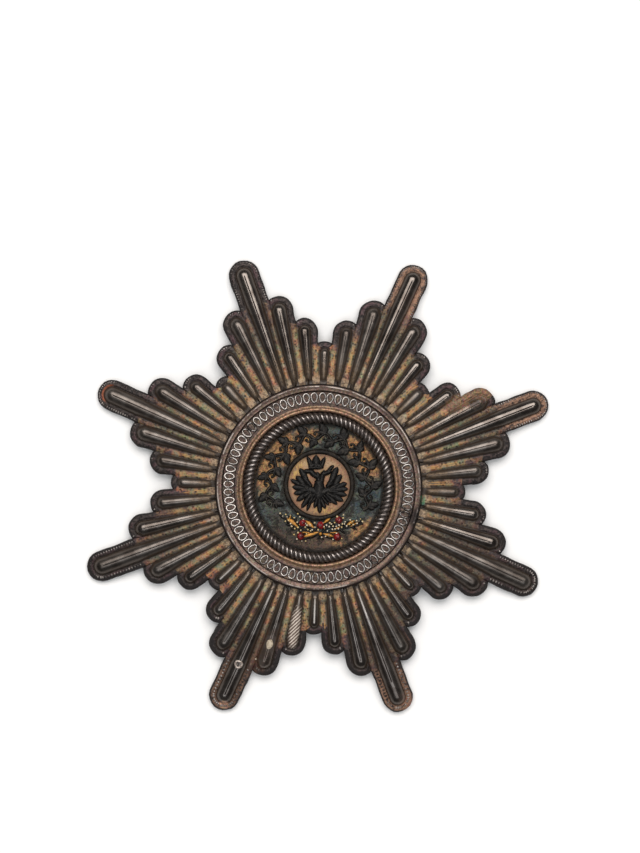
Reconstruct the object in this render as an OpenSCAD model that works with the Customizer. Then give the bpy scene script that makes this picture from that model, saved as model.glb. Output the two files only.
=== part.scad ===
// Breast star with eight points, stamped from silver sheet, lying on its back.
// Millimetres. The origin is under the middle of the star, on the plane of its rim.
// +Z is the way the face looks and +Y is its top.

/* [Star] */
// Reach of the eight long rays
long_r = 44.9; // [43:0.1:47]
// Reach of the sixteen medium rays
medium_r = 36.2; // [35:0.1:37.5]
// Reach of the sixteen short rays
short_r = 31.4; // [30:0.1:33]
// Reach of the eight rays in the valleys
valley_r = 27.1; // [26:0.1:28]
// Flat border beside each ridge
border = 1.25; // [1:0.05:1.5]
// Thickness of the stamped sheet
sheet = 0.5; // [0.35:0.05:0.5]
// Height of the turned-down rim
rim_h = 1.2; // [0.8:0.1:2]
// Fall of the field from the hub to the tips, in degrees
slope = 6; // [4:0.5:8]

/* [Ridges] */
// Half width of a ridge at its inner end
ridge_in_half = 0.75; // [0.7:0.01:0.85]
// Half width of the long ridges where they are widest
ridge_half_max = 1.6; // [1.4:0.05:1.8]
// Widening of a ridge for each millimetre of its length
ridge_taper = 0.058; // [0.05:0.002:0.066]
// Depth of a ridge's axis under the field
ridge_sink = 0.36; // [0.3:0.02:0.46]

/* [Ring] */
// Outer radius of the ring
ring_r = 19.1; // [18.5:0.1:19.6]
// Thickness of the ring's sheet
ring_sheet = 0.4; // [0.3:0.05:0.5]
// Height of the ring's outer crest
crest_h = 1.7; // [1.5:0.05:2]
// Half width of the outer crest
crest_half = 0.55; // [0.4:0.05:0.65]
// Height of the band that carries the loops
band_h = 1.2; // [1:0.05:1.35]
// Width from the ring's outer edge to the loops
outer_w = 1.45; // [1.4:0.05:1.6]
// Width from the loops to the ring's inner edge
inner_w = 1.6; // [1.4:0.05:1.8]
// Height of the inner bead
bead_h = 1.55; // [1.45:0.05:1.7]
// Half width of the inner bead
bead_half = 0.3; // [0.2:0.02:0.36]
// Number of raised loops
loop_count = 72; // [66:1:76]
// Width of a loop's wire
loop_wire = 0.34; // [0.26:0.02:0.4]
// Height of the loops over their band
loop_h = 0.3; // [0.2:0.05:0.4]
// Gap between neighbouring loops
loop_gap = 0.1; // [0.06:0.02:0.2]

/* [Rope] */
// Radius of the rope's middle line
rope_mid_r = 12.9; // [12.6:0.1:13.2]
// Radius of the rope itself
rope_r = 1; // [0.9:0.02:1.06]
// Number of strands seen round the rope
strand_count = 92; // [84:1:100]
// Number of strands that are twisted together
strand_starts = 5; // [3:1:6]
// Depth of the grooves between the strands
strand_depth = 0.2; // [0.1:0.02:0.26]

/* [Middle] */
// Thickness of the enamelled band
enamel_t = 0.5; // [0.4:0.05:0.7]
// Radius of the disc under the eagle
disc_r = 5.65; // [5.4:0.05:5.8]
// Thickness of the disc
disc_t = 0.6; // [0.5:0.05:0.7]
// Width of the disc's rim
disc_rim_w = 0.86; // [0.7:0.02:0.9]
// Height of the disc's rim
disc_rim_h = 0.85; // [0.75:0.05:1]
// How far the disc sits right of the star's middle
disc_x = 0.05; // [-0.1:0.05:0.2]
// How far the disc sits above the star's middle
disc_y = 0.5; // [0.3:0.05:0.55]
// Height of the eagle and the crown
eagle_h = 0.45; // [0.3:0.05:0.7]
// Height of the leaf scroll
scroll_h = 0.32; // [0.2:0.02:0.5]
// Height of the laurel branches
laurel_h = 0.4; // [0.3:0.05:0.6]
// Radius of a berry
berry_r = 0.72; // [0.6:0.02:0.74]
// Height of a berry
berry_h = 0.95; // [0.8:0.05:1.2]

/* [Pin] */
// Length of the pin from hinge to catch
pin_l = 31; // [26:0.5:32]
// Radius of the pin's wire
pin_r = 0.55; // [0.4:0.05:0.7]
// Height of the pin's middle line over the rim's plane
pin_z = 1.5; // [1.2:0.1:1.8]
// Radius of the two soldering pads
pad_r = 2.4; // [2:0.1:2.8]
// Thickness of the pads
pad_t = 0.5; // [0.4:0.05:0.7]

/* [Fit] */
// Gap between pieces that are set into each other
gap = 0.04; // [0.03:0.01:0.06]
// Gap between the ring and the plate's ridges
ring_gap = 0.4; // [0.3:0.05:0.6]

/* [Hidden] */
$fn = 96;
// How far a cutting shape runs past what it cuts
past = 5;

// The star's plan: rays in a turn, and how one point's rays follow each other
RAYS = 48;
PITCH = 360 / RAYS;
FIRST_RAY = 22.5;
LOBES = [long_r, medium_r, short_r, valley_r, short_r, medium_r];
RAYS_PER_POINT = len(LOBES);
POINTS = RAYS / RAYS_PER_POINT;
// The rays beside a long one gather towards it, in degrees
GATHER = [0, -0.6, -0.4, 0, 0.4, 0.6];
// Each point leans a little, in degrees, and its long ray and the rays beside it have their own reach
TIPS = [[0.5, 1.008, 1.005], [0.3, 1, 0.997], [-0.9, 0.987, 1], [0.6, 0.993, 1.007],
    [-0.3, 1.012, 0.996], [0.3, 1.002, 1.004], [0.3, 0.985, 0.987], [0, 0.989, 0.999]];
LEAN = 0;
REACH = 1;
SIDES = 2;

// Places that follow from the sizes
hub_r = ring_r + ring_gap;
ridge_in_r = hub_r + ridge_in_half + 2 * gap;
max_half_r = ridge_in_r + (ridge_half_max - ridge_in_half) / ridge_taper;
hub_z = field_z(hub_r);
seat_z = hub_z + gap;
ring_in_r = rope_mid_r + rope_r + gap;
loop_out_r = ring_r - outer_w;
loop_in_r = ring_in_r + inner_w;
loop_mid_r = (loop_out_r + loop_in_r) / 2;
enamel_out_r = rope_mid_r - rope_r - gap;
enamel_top_z = seat_z + enamel_t;
disc_top_z = seat_z + disc_t;
rim_in_r = disc_r + gap;
rim_out_r = rim_in_r + disc_rim_w;
enamel_in_r = rim_out_r + gap;

// A star ray's length, direction and ridge
function in_point(i) = i % RAYS_PER_POINT;
function tip(i) = TIPS[floor(i / RAYS_PER_POINT) % POINTS];
function nearest_tip(i) = tip(in_point(i) > RAYS_PER_POINT / 2 ? i + RAYS_PER_POINT : i);
function lean(i) = let (f = in_point(i) / RAYS_PER_POINT)
    tip(i)[LEAN] * (1 - f) + tip(i + RAYS_PER_POINT)[LEAN] * f;
function ray_angle(i) = FIRST_RAY + i * PITCH + lean(i) + GATHER[in_point(i)];
function reach(i) = in_point(i) == 0 ? tip(i)[REACH] : nearest_tip(i)[SIDES];
function ray_length(i) = LOBES[in_point(i)] * reach(i);
function half_at(r) = min(ridge_half_max, ridge_in_half + ridge_taper * (r - ridge_in_r));
function narrow_end_r(length) =
    (length - border - ridge_in_half + ridge_taper * ridge_in_r) / (1 + ridge_taper);
function end_r(length) =
    narrow_end_r(length) < max_half_r ? narrow_end_r(length) : length - border - ridge_half_max;
function is_wide(length) = end_r(length) > max_half_r + gap;
function field_z(r) = rim_h + (long_r - max(r, hub_r)) * tan(slope);

// Half of a ridge's outline, as points along its length
function ridge_side(length, grow) = let (e = end_r(length), m = min(e, max_half_r)) concat(
    [[ridge_in_r, half_at(ridge_in_r) + grow], [m, half_at(m) + grow]],
    is_wide(length) ? [[e, half_at(e) + grow]] : []);
function backwards(points) = [for (i = [len(points) - 1 : -1 : 0]) points[i]];
function flipped_y(points) = [for (p = points) [p[0], -p[1]]];
function swapped(points) = [for (p = points) [p[1], p[0]]];

// A ray's lobe: the ridge's outline with its border round it
module lobe(length, grow) {
    side = ridge_side(length, grow);
    root = [0, side[0][1]];
    polygon(concat([[root[0], -root[1]]], flipped_y(side), backwards(side), [root]));
    translate([end_r(length), 0]) circle(r = half_at(end_r(length)) + grow);
}

module star_outline(inset) {
    circle(r = hub_r + past - inset);
    for (i = [0 : RAYS - 1]) rotate(ray_angle(i)) lobe(ray_length(i), border - inset);
}

// The flat hub and the conical field, down to below the rim
module field(inset) {
    drop = inset / cos(slope);
    past_r = long_r + past;
    rotate_extrude() polygon([[0, -past], [past_r, -past], [past_r, field_z(past_r) - drop],
        [hub_r, hub_z - drop], [0, hub_z - drop]]);
}

// A ridge is a long round bar along the field, with round ends
module ridge(length, inset) {
    e = end_r(length);
    side = swapped(ridge_side(length, -inset));
    translate([0, 0, rim_h + long_r * tan(slope) - ridge_sink]) rotate([0, 90 + slope, 0]) rotate_extrude()
    intersection() {
        union() {
            polygon(concat([[0, ridge_in_r]], side, [[0, e]]));
            translate([0, e]) circle(r = half_at(e) - inset);
            translate([0, ridge_in_r]) circle(r = half_at(ridge_in_r) - inset);
        }
        square([ridge_half_max * 2, long_r + past]);
    }
}

module star_form(inset) intersection() {
    translate([0, 0, -inset]) linear_extrude(height = hub_z + past) star_outline(inset);
    union() {
        field(inset);
        for (i = [0 : RAYS - 1]) rotate(ray_angle(i)) ridge(ray_length(i), inset);
    }
}

module star_plate() color([0.33, 0.28, 0.25]) difference() {
    star_form(0);
    star_form(sheet);
}

// A long round-ended shape along X
module oval(half_x, half_y) {
    straight = half_x - half_y;
    polygon([[-straight, -half_y], [straight, -half_y], [straight, half_y], [-straight, half_y]]);
    for (end = [-1, 1]) translate([end * straight, 0]) circle(r = half_y);
}

module loops() {
    half_x = (loop_out_r - loop_in_r) / 2 - gap;
    half_y = loop_mid_r * PI / loop_count - loop_gap / 2;
    for (i = [0 : loop_count - 1]) rotate(i * 360 / loop_count) translate([loop_mid_r, 0]) difference() {
        oval(half_x, half_y);
        oval(half_x - loop_wire, half_y - loop_wire);
    }
}

// The bead stands this many of its half widths in from the ring's inner edge
BEAD_PLACE = 1.6;

// The pressed ring: outer crest, loop band and inner bead over an open channel
module medallion_ring() color([0.42, 0.35, 0.3]) translate([0, 0, seat_z]) {
    rotate_extrude() difference() {
        union() {
            polygon([[ring_in_r, 0], [ring_r, 0], [ring_r, crest_h - crest_half],
                [ring_r - 2 * crest_half, crest_h - crest_half], [loop_out_r, band_h], [ring_in_r, band_h]]);
            translate([ring_r - crest_half, crest_h - crest_half]) circle(r = crest_half);
            translate([ring_in_r + bead_half * BEAD_PLACE, bead_h - bead_half]) circle(r = bead_half);
        }
        polygon([[ring_in_r + ring_sheet, -past], [ring_r - ring_sheet, -past],
            [ring_r - ring_sheet, band_h - ring_sheet], [ring_in_r + ring_sheet, band_h - ring_sheet]]);
    }
    translate([0, 0, band_h - ring_sheet / 2]) linear_extrude(height = loop_h + ring_sheet / 2) loops();
}

// The rope is a ring whose mesh lines follow its strands
STRAND_STEPS = 4;
ROPE_SIDES = 8;
rope_steps = strand_count * STRAND_STEPS;
function rope_point(i, j) = let (
    about = j * 360 / ROPE_SIDES,
    along = (i / STRAND_STEPS - strand_starts * j / ROPE_SIDES) * 360 / strand_count,
    r = rope_r - strand_depth * (1 - cos(i * 360 / STRAND_STEPS)) / 2)
    [(rope_mid_r + r * cos(about)) * cos(along), (rope_mid_r + r * cos(about)) * sin(along),
        rope_r + r * sin(about)];
// Once round the rope, the mesh meets itself as many strands further on
function rope_index(i, j) =
    let (ahead = i + (j == ROPE_SIDES ? rope_steps - strand_starts * STRAND_STEPS : 0))
    (ahead % rope_steps) * ROPE_SIDES + j % ROPE_SIDES;

module rope_bezel() color([0.3, 0.27, 0.26]) translate([0, 0, seat_z]) polyhedron(
    points = [for (i = [0 : rope_steps - 1]) for (j = [0 : ROPE_SIDES - 1]) rope_point(i, j)],
    faces = [for (i = [0 : rope_steps - 1]) for (j = [0 : ROPE_SIDES - 1]) for (half = [0, 1])
        half == 0 ? [rope_index(i, j), rope_index(i, j + 1), rope_index(i + 1, j + 1)]
            : [rope_index(i, j), rope_index(i + 1, j + 1), rope_index(i + 1, j)]]);

module on_disc() translate([disc_x, disc_y, 0]) children();

module enamel_band() color([0.5, 0.42, 0.3]) translate([0, 0, seat_z]) difference() {
    cylinder(r = enamel_out_r, h = enamel_t);
    translate([0, 0, -past]) on_disc() cylinder(r = enamel_in_r, h = enamel_t + 2 * past);
}

module disc_rim() color([0.13, 0.12, 0.12]) translate([0, 0, seat_z]) on_disc() rotate_extrude() {
    translate([rim_in_r, 0]) square([disc_rim_w, disc_rim_h - disc_rim_w / 2]);
    translate([(rim_in_r + rim_out_r) / 2, disc_rim_h - disc_rim_w / 2]) circle(r = disc_rim_w / 2);
}

module eagle_disc() color([0.78, 0.58, 0.38]) translate([0, 0, seat_z]) on_disc()
    cylinder(r = disc_r, h = disc_t);

// Points on the other side of the middle line, kept in the same turning sense
function sided(points, side) = side > 0 ? points : [for (p = backwards(points)) [-p[0], p[1]]];
// The same outline at another size
function times(points, size) = [for (p = points) p * size];
// A direction on the other side of the middle line
function turned(angle, side) = side > 0 ? angle : 180 - angle;

// Half of a feather or leaf, as shares of its length and of its half width
BLADE = [[0.5, 1], [0.8, 0.72]];

// A feather or leaf along +X, from its root to its point
module blade(length, width, root = 0.6) {
    side = concat([[0, width * root / 2]], [for (p = BLADE) [p[0] * length, p[1] * width / 2]]);
    polygon(concat(flipped_y(side), [[length, 0]], backwards(side)));
}

// Wing feathers: direction, reach and root, the lengths as shares of the disc's radius
FEATHERS = [[46, 0.84, 0.42], [28, 0.82, 0.4], [8, 0.91, 0.3], [-9, 0.94, 0.2], [-26, 0.94, 0.15],
    [-42, 0.92, 0.15], [-59, 0.84, 0.15]];
TAIL = [[-90, 0.9], [-76, 0.76], [-104, 0.76]];
DIRECTION = 0;
FAR = 1;
NEAR = 2;
tail_root = 0.2;
feather_w = 0.2;
leg_w = 0.1;
tail_w = 0.16;
ARM = [[0, -0.34], [0.3, -0.22], [0.52, 0.06], [0.5, 0.34], [0.34, 0.3], [0.3, 0.06], [0.16, -0.06],
    [0, -0.1]];
NECK = [[0, -0.3], [0.16, -0.1], [0.12, 0.16], [0.26, 0.4], [0.38, 0.44], [0.5, 0.4], [0.4, 0.54],
    [0.24, 0.54], [0.12, 0.42], [0, 0.24]];
LEG = [-52, 0.6, 0.24];
CROWN = [[-0.2, 0], [0.2, 0], [0.24, 0.33], [0.12, 0.15], [0, 0.37], [-0.12, 0.15], [-0.28, 0.28]];
CROWN_AT = [-0.14, 0.58];

module eagle_shape() {
    for (side = [-1, 1]) {
        polygon(times(sided(ARM, side), disc_r));
        polygon(times(sided(NECK, side), disc_r));
        for (f = FEATHERS) rotate(turned(f[DIRECTION], side)) translate([f[NEAR] * disc_r, 0])
            blade((f[FAR] - f[NEAR]) * disc_r, feather_w * disc_r);
        rotate(turned(LEG[DIRECTION], side)) translate([LEG[NEAR] * disc_r, 0])
            blade((LEG[FAR] - LEG[NEAR]) * disc_r, leg_w * disc_r);
    }
    for (f = TAIL) rotate(f[DIRECTION]) translate([tail_root * disc_r, 0])
        blade((f[FAR] - tail_root) * disc_r, tail_w * disc_r);
}

module eagle() color([0.08, 0.08, 0.08]) translate([0, 0, disc_top_z + gap]) on_disc()
    linear_extrude(height = eagle_h) eagle_shape();

module crown() color([0.08, 0.08, 0.08]) translate([0, 0, disc_top_z + gap]) on_disc()
    linear_extrude(height = eagle_h) translate(CROWN_AT * disc_r) polygon(times(CROWN, disc_r));

// A wavy stem round the upper part of the band, with a leaf on each side in turn
SCROLL_FROM = -26;
SCROLL_TO = 206;
SCROLL_LEAVES = 22;
SCROLL_STEPS = 88;
// Leaves stand out this far from the stem, in degrees
SCROLL_TURN = 48;
scroll_half_w = 0.2;
bud_r = scroll_half_w * 1.4;
bud_off = scroll_half_w * 1.8;
scroll_mid_r = (enamel_in_r + enamel_out_r) / 2;
scroll_wave = (enamel_out_r - enamel_in_r) * 0.09;
leaf_l = (enamel_out_r - enamel_in_r) * 0.4;
leaf_w = leaf_l * 0.46;
function scroll_angle(s) = SCROLL_FROM + (SCROLL_TO - SCROLL_FROM) * s;
function scroll_r(s) = scroll_mid_r + scroll_wave * sin(s * SCROLL_LEAVES * 180);
function polar(r, angle) = [r * cos(angle), r * sin(angle)];

function scroll_line(off) = [for (k = [0 : SCROLL_STEPS]) let (s = k / SCROLL_STEPS)
    polar(scroll_r(s) + off, scroll_angle(s))];

module scroll_shape() {
    polygon(concat(scroll_line(scroll_half_w), backwards(scroll_line(-scroll_half_w))));
    for (n = [0 : SCROLL_LEAVES - 1]) {
        s = (n + 0.5) / SCROLL_LEAVES;
        out = n % 2 == 0 ? 1 : -1;
        translate(polar(scroll_r(s), scroll_angle(s))) rotate(scroll_angle(s) + 90 - out * SCROLL_TURN)
            blade(leaf_l, leaf_w);
        translate(polar(scroll_r(s) - out * bud_off, scroll_angle(s))) circle(r = bud_r);
    }
}

// The scroll sits half as far off the star's middle as the disc does
module leaf_scroll() color([0.16, 0.15, 0.14]) translate([disc_x / 2, disc_y / 2, enamel_top_z + gap])
    linear_extrude(height = scroll_h) scroll_shape();

// A branch bends once between its foot, its knee and its tip, as shares of the band's outer radius
FOOT = [-0.2, -0.76];
KNEE = [0.28, -0.7];
TIP = [0.62, -0.42];
BRANCH_STEPS = 12;
branch_half_w = 0.16;
// Leaves: place along the branch, turn from it in degrees, and length as a share of the band's radius
BRANCH_LEAVES = [[0.1, 150, 0.1], [0.3, -34, 0.14], [0.32, 40, 0.12], [0.5, -32, 0.15], [0.52, 34, 0.12],
    [0.7, -30, 0.14], [0.72, 32, 0.13], [0.86, -30, 0.13], [0.88, 30, 0.13], [0.98, 2, 0.13]];
LEAF_WIDTH = 0.4;
LEAF_ROOT = 0.3;
PLACE = 0;
TURN = 1;
LEAF = 2;
function branch_at(s) = FOOT * (1 - s) * (1 - s) + KNEE * 2 * s * (1 - s) + TIP * s * s;
function branch_way(s) = let (d = (KNEE - FOOT) * (1 - s) + (TIP - KNEE) * s) d / norm(d);
function beside(s, off) = branch_at(s) * enamel_out_r + [branch_way(s)[1], -branch_way(s)[0]] * off;
// Berries: right and up from the middle, as shares of the band's outer radius
BERRIES = [[-0.225, -0.558], [0.05, -0.581], [0.332, -0.492], [-0.252, -0.761], [0.317, -0.752]];

module branch_shape(side) {
    right = [for (k = [0 : BRANCH_STEPS]) beside(k / BRANCH_STEPS, branch_half_w)];
    left = [for (k = [0 : BRANCH_STEPS]) beside(k / BRANCH_STEPS, -branch_half_w)];
    polygon(sided(concat(right, backwards(left)), side));
    for (l = BRANCH_LEAVES) {
        at = beside(l[PLACE], 0);
        way = branch_way(l[PLACE]);
        translate([at[0] * side, at[1]]) rotate(turned(atan2(way[1], way[0]) + l[TURN], side))
            blade(l[LEAF] * enamel_out_r, l[LEAF] * enamel_out_r * LEAF_WIDTH, LEAF_ROOT);
    }
}

module laurel_branches() color([0.72, 0.52, 0.18]) translate([0, 0, enamel_top_z + gap])
linear_extrude(height = laurel_h) difference() {
    union() {
        for (side = [-1, 1]) branch_shape(side);
    }
    for (b = BERRIES) translate(b * enamel_out_r) circle(r = berry_r + gap);
    on_disc() circle(r = rim_out_r + gap);
}

module berry(index) color([0.6, 0.05, 0.06]) translate([0, 0, enamel_top_z + gap])
translate(BERRIES[index - 1] * enamel_out_r) rotate_extrude() intersection() {
    union() {
        square([berry_r, berry_h - berry_r]);
        translate([0, berry_h - berry_r]) circle(r = berry_r);
    }
    square([berry_r, berry_h]);
}

// Side of the hinge and catch blocks, in pad radii
BLOCK = 1.2;

// One plain piece in the hollow: hinge block, wire and catch between two pads
module back_pin() color([0.4, 0.38, 0.36]) {
    roof_z = hub_z - sheet / cos(slope) - gap;
    block = [BLOCK * pad_r, BLOCK * pad_r, roof_z - pin_z + pin_r];
    for (side = [-1, 1]) translate([side * pin_l / 2, 0, 0]) {
        translate([0, 0, roof_z - pad_t]) cylinder(r = pad_r, h = pad_t);
        translate([-block[0] / 2, -block[1] / 2, pin_z - pin_r]) cube(block);
    }
    translate([-pin_l / 2, 0, pin_z]) rotate([0, 90, 0]) cylinder(r = pin_r, h = pin_l);
}

star_plate();
medallion_ring();
rope_bezel();
enamel_band();
disc_rim();
eagle_disc();
eagle();
crown();
leaf_scroll();
laurel_branches();
berry(1);  // berry_1
berry(2);  // berry_2
berry(3);  // berry_3
berry(4);  // berry_4
berry(5);  // berry_5
back_pin();
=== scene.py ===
"""A stamped silver breast star with eight points, lying on its back on a pale table."""

import functools
import math

import bmesh
import bpy
from mathutils import Matrix, Vector, noise


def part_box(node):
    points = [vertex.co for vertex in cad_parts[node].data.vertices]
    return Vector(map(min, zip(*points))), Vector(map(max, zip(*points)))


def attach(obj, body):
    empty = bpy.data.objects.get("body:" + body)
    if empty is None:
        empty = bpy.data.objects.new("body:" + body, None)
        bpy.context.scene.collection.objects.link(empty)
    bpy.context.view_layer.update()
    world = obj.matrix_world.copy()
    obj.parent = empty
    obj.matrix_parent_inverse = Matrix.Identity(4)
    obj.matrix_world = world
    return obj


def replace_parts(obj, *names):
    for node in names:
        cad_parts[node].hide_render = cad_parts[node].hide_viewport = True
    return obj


bl_info = {
    "name": "Stamped Breast Star",
    "version": (1, 0, 0),
    "blender": (4, 5, 0),
    "location": "View3D > Sidebar > Star",
    "description": "Dresses a stamped breast star with its tarnish, ring, rope and enamelled middle",
    "category": "Add Mesh",
}

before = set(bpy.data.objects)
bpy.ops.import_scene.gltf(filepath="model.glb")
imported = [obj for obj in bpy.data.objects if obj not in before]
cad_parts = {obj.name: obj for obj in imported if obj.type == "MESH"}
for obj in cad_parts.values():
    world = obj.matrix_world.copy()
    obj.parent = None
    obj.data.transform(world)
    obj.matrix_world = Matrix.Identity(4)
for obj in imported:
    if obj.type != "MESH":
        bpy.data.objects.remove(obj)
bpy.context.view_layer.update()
MM = 0.001
UP = Vector((0, 0, 1))

RAYS = 48
RAYS_PER_POINT = 6
PITCH = math.tau / RAYS
FIRST_RAY = math.radians(22.5)
# The rays beside a long one gather towards it, in degrees
GATHER = [0, -0.6, -0.4, 0, 0.4, 0.6]
# Each point leans a little, in degrees, and its long ray and the rays beside it have their own reach
TIPS = [
    (0.5, 1.008, 1.005), (0.3, 1, 0.997), (-0.9, 0.987, 1), (0.6, 0.993, 1.007),
    (-0.3, 1.012, 0.996), (0.3, 1.002, 1.004), (0.3, 0.985, 0.987), (0, 0.989, 0.999),
]


def size(name, words, millimetres):
    """A length that a user can change, kept in metres."""
    return bpy.props.FloatProperty(
        name=name, description=words, default=millimetres * MM, unit="LENGTH", precision=5
    )


def angle(name, words, degrees):
    """An angle that a user can change."""
    return bpy.props.FloatProperty(
        name=name, description=words, default=math.radians(degrees), subtype="ANGLE"
    )


def number(name, words, default):
    """A plain number that a user can change."""
    kind = bpy.props.IntProperty if isinstance(default, int) else bpy.props.FloatProperty
    return kind(name=name, description=words, default=default)


def colour(name, words, red, green, blue):
    """A colour that a user can change."""
    return bpy.props.FloatVectorProperty(
        name=name, description=words, default=(red, green, blue), subtype="COLOR", size=3, min=0, max=1
    )


class StarSizes(bpy.types.PropertyGroup):
    """Sizes of the stamped plate."""

    long_reach: size("Long rays", "Reach of the eight long rays", 44.9)
    medium_reach: size("Medium rays", "Reach of the sixteen medium rays", 36.2)
    short_reach: size("Short rays", "Reach of the sixteen short rays", 31.4)
    valley_reach: size("Valley rays", "Reach of the eight rays in the valleys", 27.1)
    border: size("Border", "Width of the flat border beside a ridge", 1.25)
    sheet: size("Sheet", "Thickness of the stamped sheet", 0.42)
    rim: size("Rim", "Height of the turned-down rim", 1.2)
    slope: angle("Slope", "Fall of the field from hub to tips", 6)
    hub: size("Hub", "Radius of the flat hub", 19.5)
    ridge_root: size("Ridge root", "Radius at which the ridges begin", 20.33)
    ridge_narrow: size("Narrow ridge", "Half width of a ridge at its root", 0.75)
    ridge_wide: size("Wide ridge", "Half width of a long ridge at its widest", 1.6)
    ridge_sink: size("Ridge sink", "Depth of a ridge's axis under the field", 0.36)
    ridge_taper: number("Taper", "Widening of a ridge along its length", 0.058)
    edge_roll: size("Edge roll", "Radius of the rolled edge", 0.34)
    moat: size("Moat", "Depth of the groove round a ridge", 0.13)
    moulding: size("Moulding", "Height of the moulding along the border", 0.12)
    wobble: size("Wobble", "Unevenness of the outline", 0.14)
    milling_in: size("Milling place", "Distance of the milled line from the edge", 0.44)
    milling_pitch: size("Milling pitch", "Spacing of the milled strokes", 0.46)


class MiddleSizes(bpy.types.PropertyGroup):
    """Sizes of the ring, the rope and the middle."""

    loop_radius: size("Loops", "Radius of the loops' middle line", 16.55)
    loop_half_long: size("Loop length", "Half length of a loop", 1.04)
    loop_half_wide: size("Loop width", "Half width of a loop", 0.68)
    loop_wire: size("Loop wire", "Radius of a loop's wire", 0.17)
    loop_count: number("Loop count", "Loops round the ring", 72)
    rope_radius: size("Rope ring", "Radius of the rope's middle line", 12.9)
    rope_half: size("Rope", "Radius of the rope itself", 1)
    strand_count: number("Strands", "Strands seen round the rope", 92)
    strand_starts: number("Starts", "Strands twisted together", 3)
    strand_depth: size("Strand depth", "Depth of the grooves between strands", 0.24)
    band_radius: size("Band", "Outer radius of the enamelled band", 11.86)
    band_inner: size("Band inside", "Inner radius of the enamelled band", 6.59)
    disc_radius: size("Disc", "Radius of the disc under the eagle", 5.65)
    disc_right: size("Disc right", "How far the disc sits right of the middle", 0.05)
    disc_up: size("Disc up", "How far the disc sits above the middle", 0.5)
    berry_radius: size("Berry", "Radius of a red berry", 0.72)


class StageSizes(bpy.types.PropertyGroup):
    """The table, the light and the camera."""

    photo_scale: number("Photo scale", "Photo pixels to a millimetre", 5.4)
    middle_x: number("Middle across", "Star's middle in the photo, in pixels from the left", 318.7)
    middle_y: number("Middle down", "Star's middle in the photo, in pixels from the top", 487.2)
    roll: angle("Roll", "Turn of the star in the photo", 2.2)
    lens: number("Lens", "Focal length in millimetres", 150.0)
    room_light: number("Room light", "Strength of the room's even light", 0.5)
    mirrored_light: number("Mirrored light", "Room light that polish mirrors", 0.13)
    table: size("Table", "Side of the table top", 3000)
    table_tone: colour("Table tone", "Colour of the table top", 0.9, 0.9, 0.9)


class Tones(bpy.types.PropertyGroup):
    """Colours of the tarnish and the enamel."""

    black: colour("Black", "Blackest tarnish", 0.013, 0.01, 0.01)
    dusk: colour("Dusk", "Dark brown grey of the borders", 0.028, 0.02, 0.018)
    olive: colour("Olive", "Olive tarnish", 0.17, 0.165, 0.105)
    ochre: colour("Ochre", "Ochre tarnish", 0.29, 0.18, 0.075)
    rust: colour("Rust", "Orange red tarnish", 0.27, 0.105, 0.045)
    plum: colour("Plum", "Purple tarnish", 0.085, 0.036, 0.045)
    sand: colour("Sand", "Pale gold of the worn roots", 0.37, 0.29, 0.19)
    copper: colour("Copper", "Bare copper", 0.3, 0.15, 0.1)
    dust: colour("Dust", "Tan corrosion", 0.2, 0.115, 0.066)
    verdigris: colour("Verdigris", "Green corrosion", 0.07, 0.25, 0.13)
    grime_and_shade: colour("Grime", "Grime on the enamel", 0.009, 0.007, 0.0055)
    tan: colour("Tan", "Orange tan enamel", 0.45, 0.245, 0.1)
    slate: colour("Slate", "Grey blue enamel", 0.05, 0.072, 0.078)
    gilt: colour("Gilt", "Gilt of the laurel", 0.4, 0.18, 0.028)
    ruby: colour("Ruby", "Red of the berries", 0.2, 0.005, 0.007)


def sizes_of(name):
    """The scene's group of that name."""
    return getattr(bpy.context.scene, name)


class Wire:
    """A shader socket with the arithmetic of Math nodes."""

    def __init__(self, paint, socket):
        self.paint = paint
        self.socket = socket

    def __add__(self, other):
        return self.paint.number("ADD", self, other)

    def __sub__(self, other):
        return self.paint.number("SUBTRACT", self, other)

    def __rsub__(self, other):
        return self.paint.number("SUBTRACT", other, self)

    def __mul__(self, other):
        return self.paint.number("MULTIPLY", self, other)

    __radd__ = __add__
    __rmul__ = __mul__

    def swing(self, amount):
        """A noise centred on 0, as much either way as half the amount."""
        return (self - 0.5) * amount

    def off(self, place):
        """How far it is from a number."""
        return self.paint.number("ABSOLUTE", self - place)

    def step(self, low, high):
        """0 under low and 1 over high, smoothly between."""
        made = self.paint.node(
            "ShaderNodeMapRange",
            {"interpolation_type": "SMOOTHSTEP", "clamp": True},
            {"Value": self, "From Min": min(low, high), "From Max": max(low, high)},
        )
        out = made.out("Result")
        return out if high > low else 1 - out

    def most(self, other):
        """The larger of two."""
        return self.paint.number("MAXIMUM", self, other)

    def held(self):
        """Kept between 0 and 1."""
        return self.paint.node("ShaderNodeClamp", {}, {"Value": self}).out("Result")


class Made:
    """A node, whose outputs come as wires."""

    def __init__(self, paint, node):
        self.paint = paint
        self.node = node

    def out(self, name):
        return Wire(self.paint, self.node.outputs[name])


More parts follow.
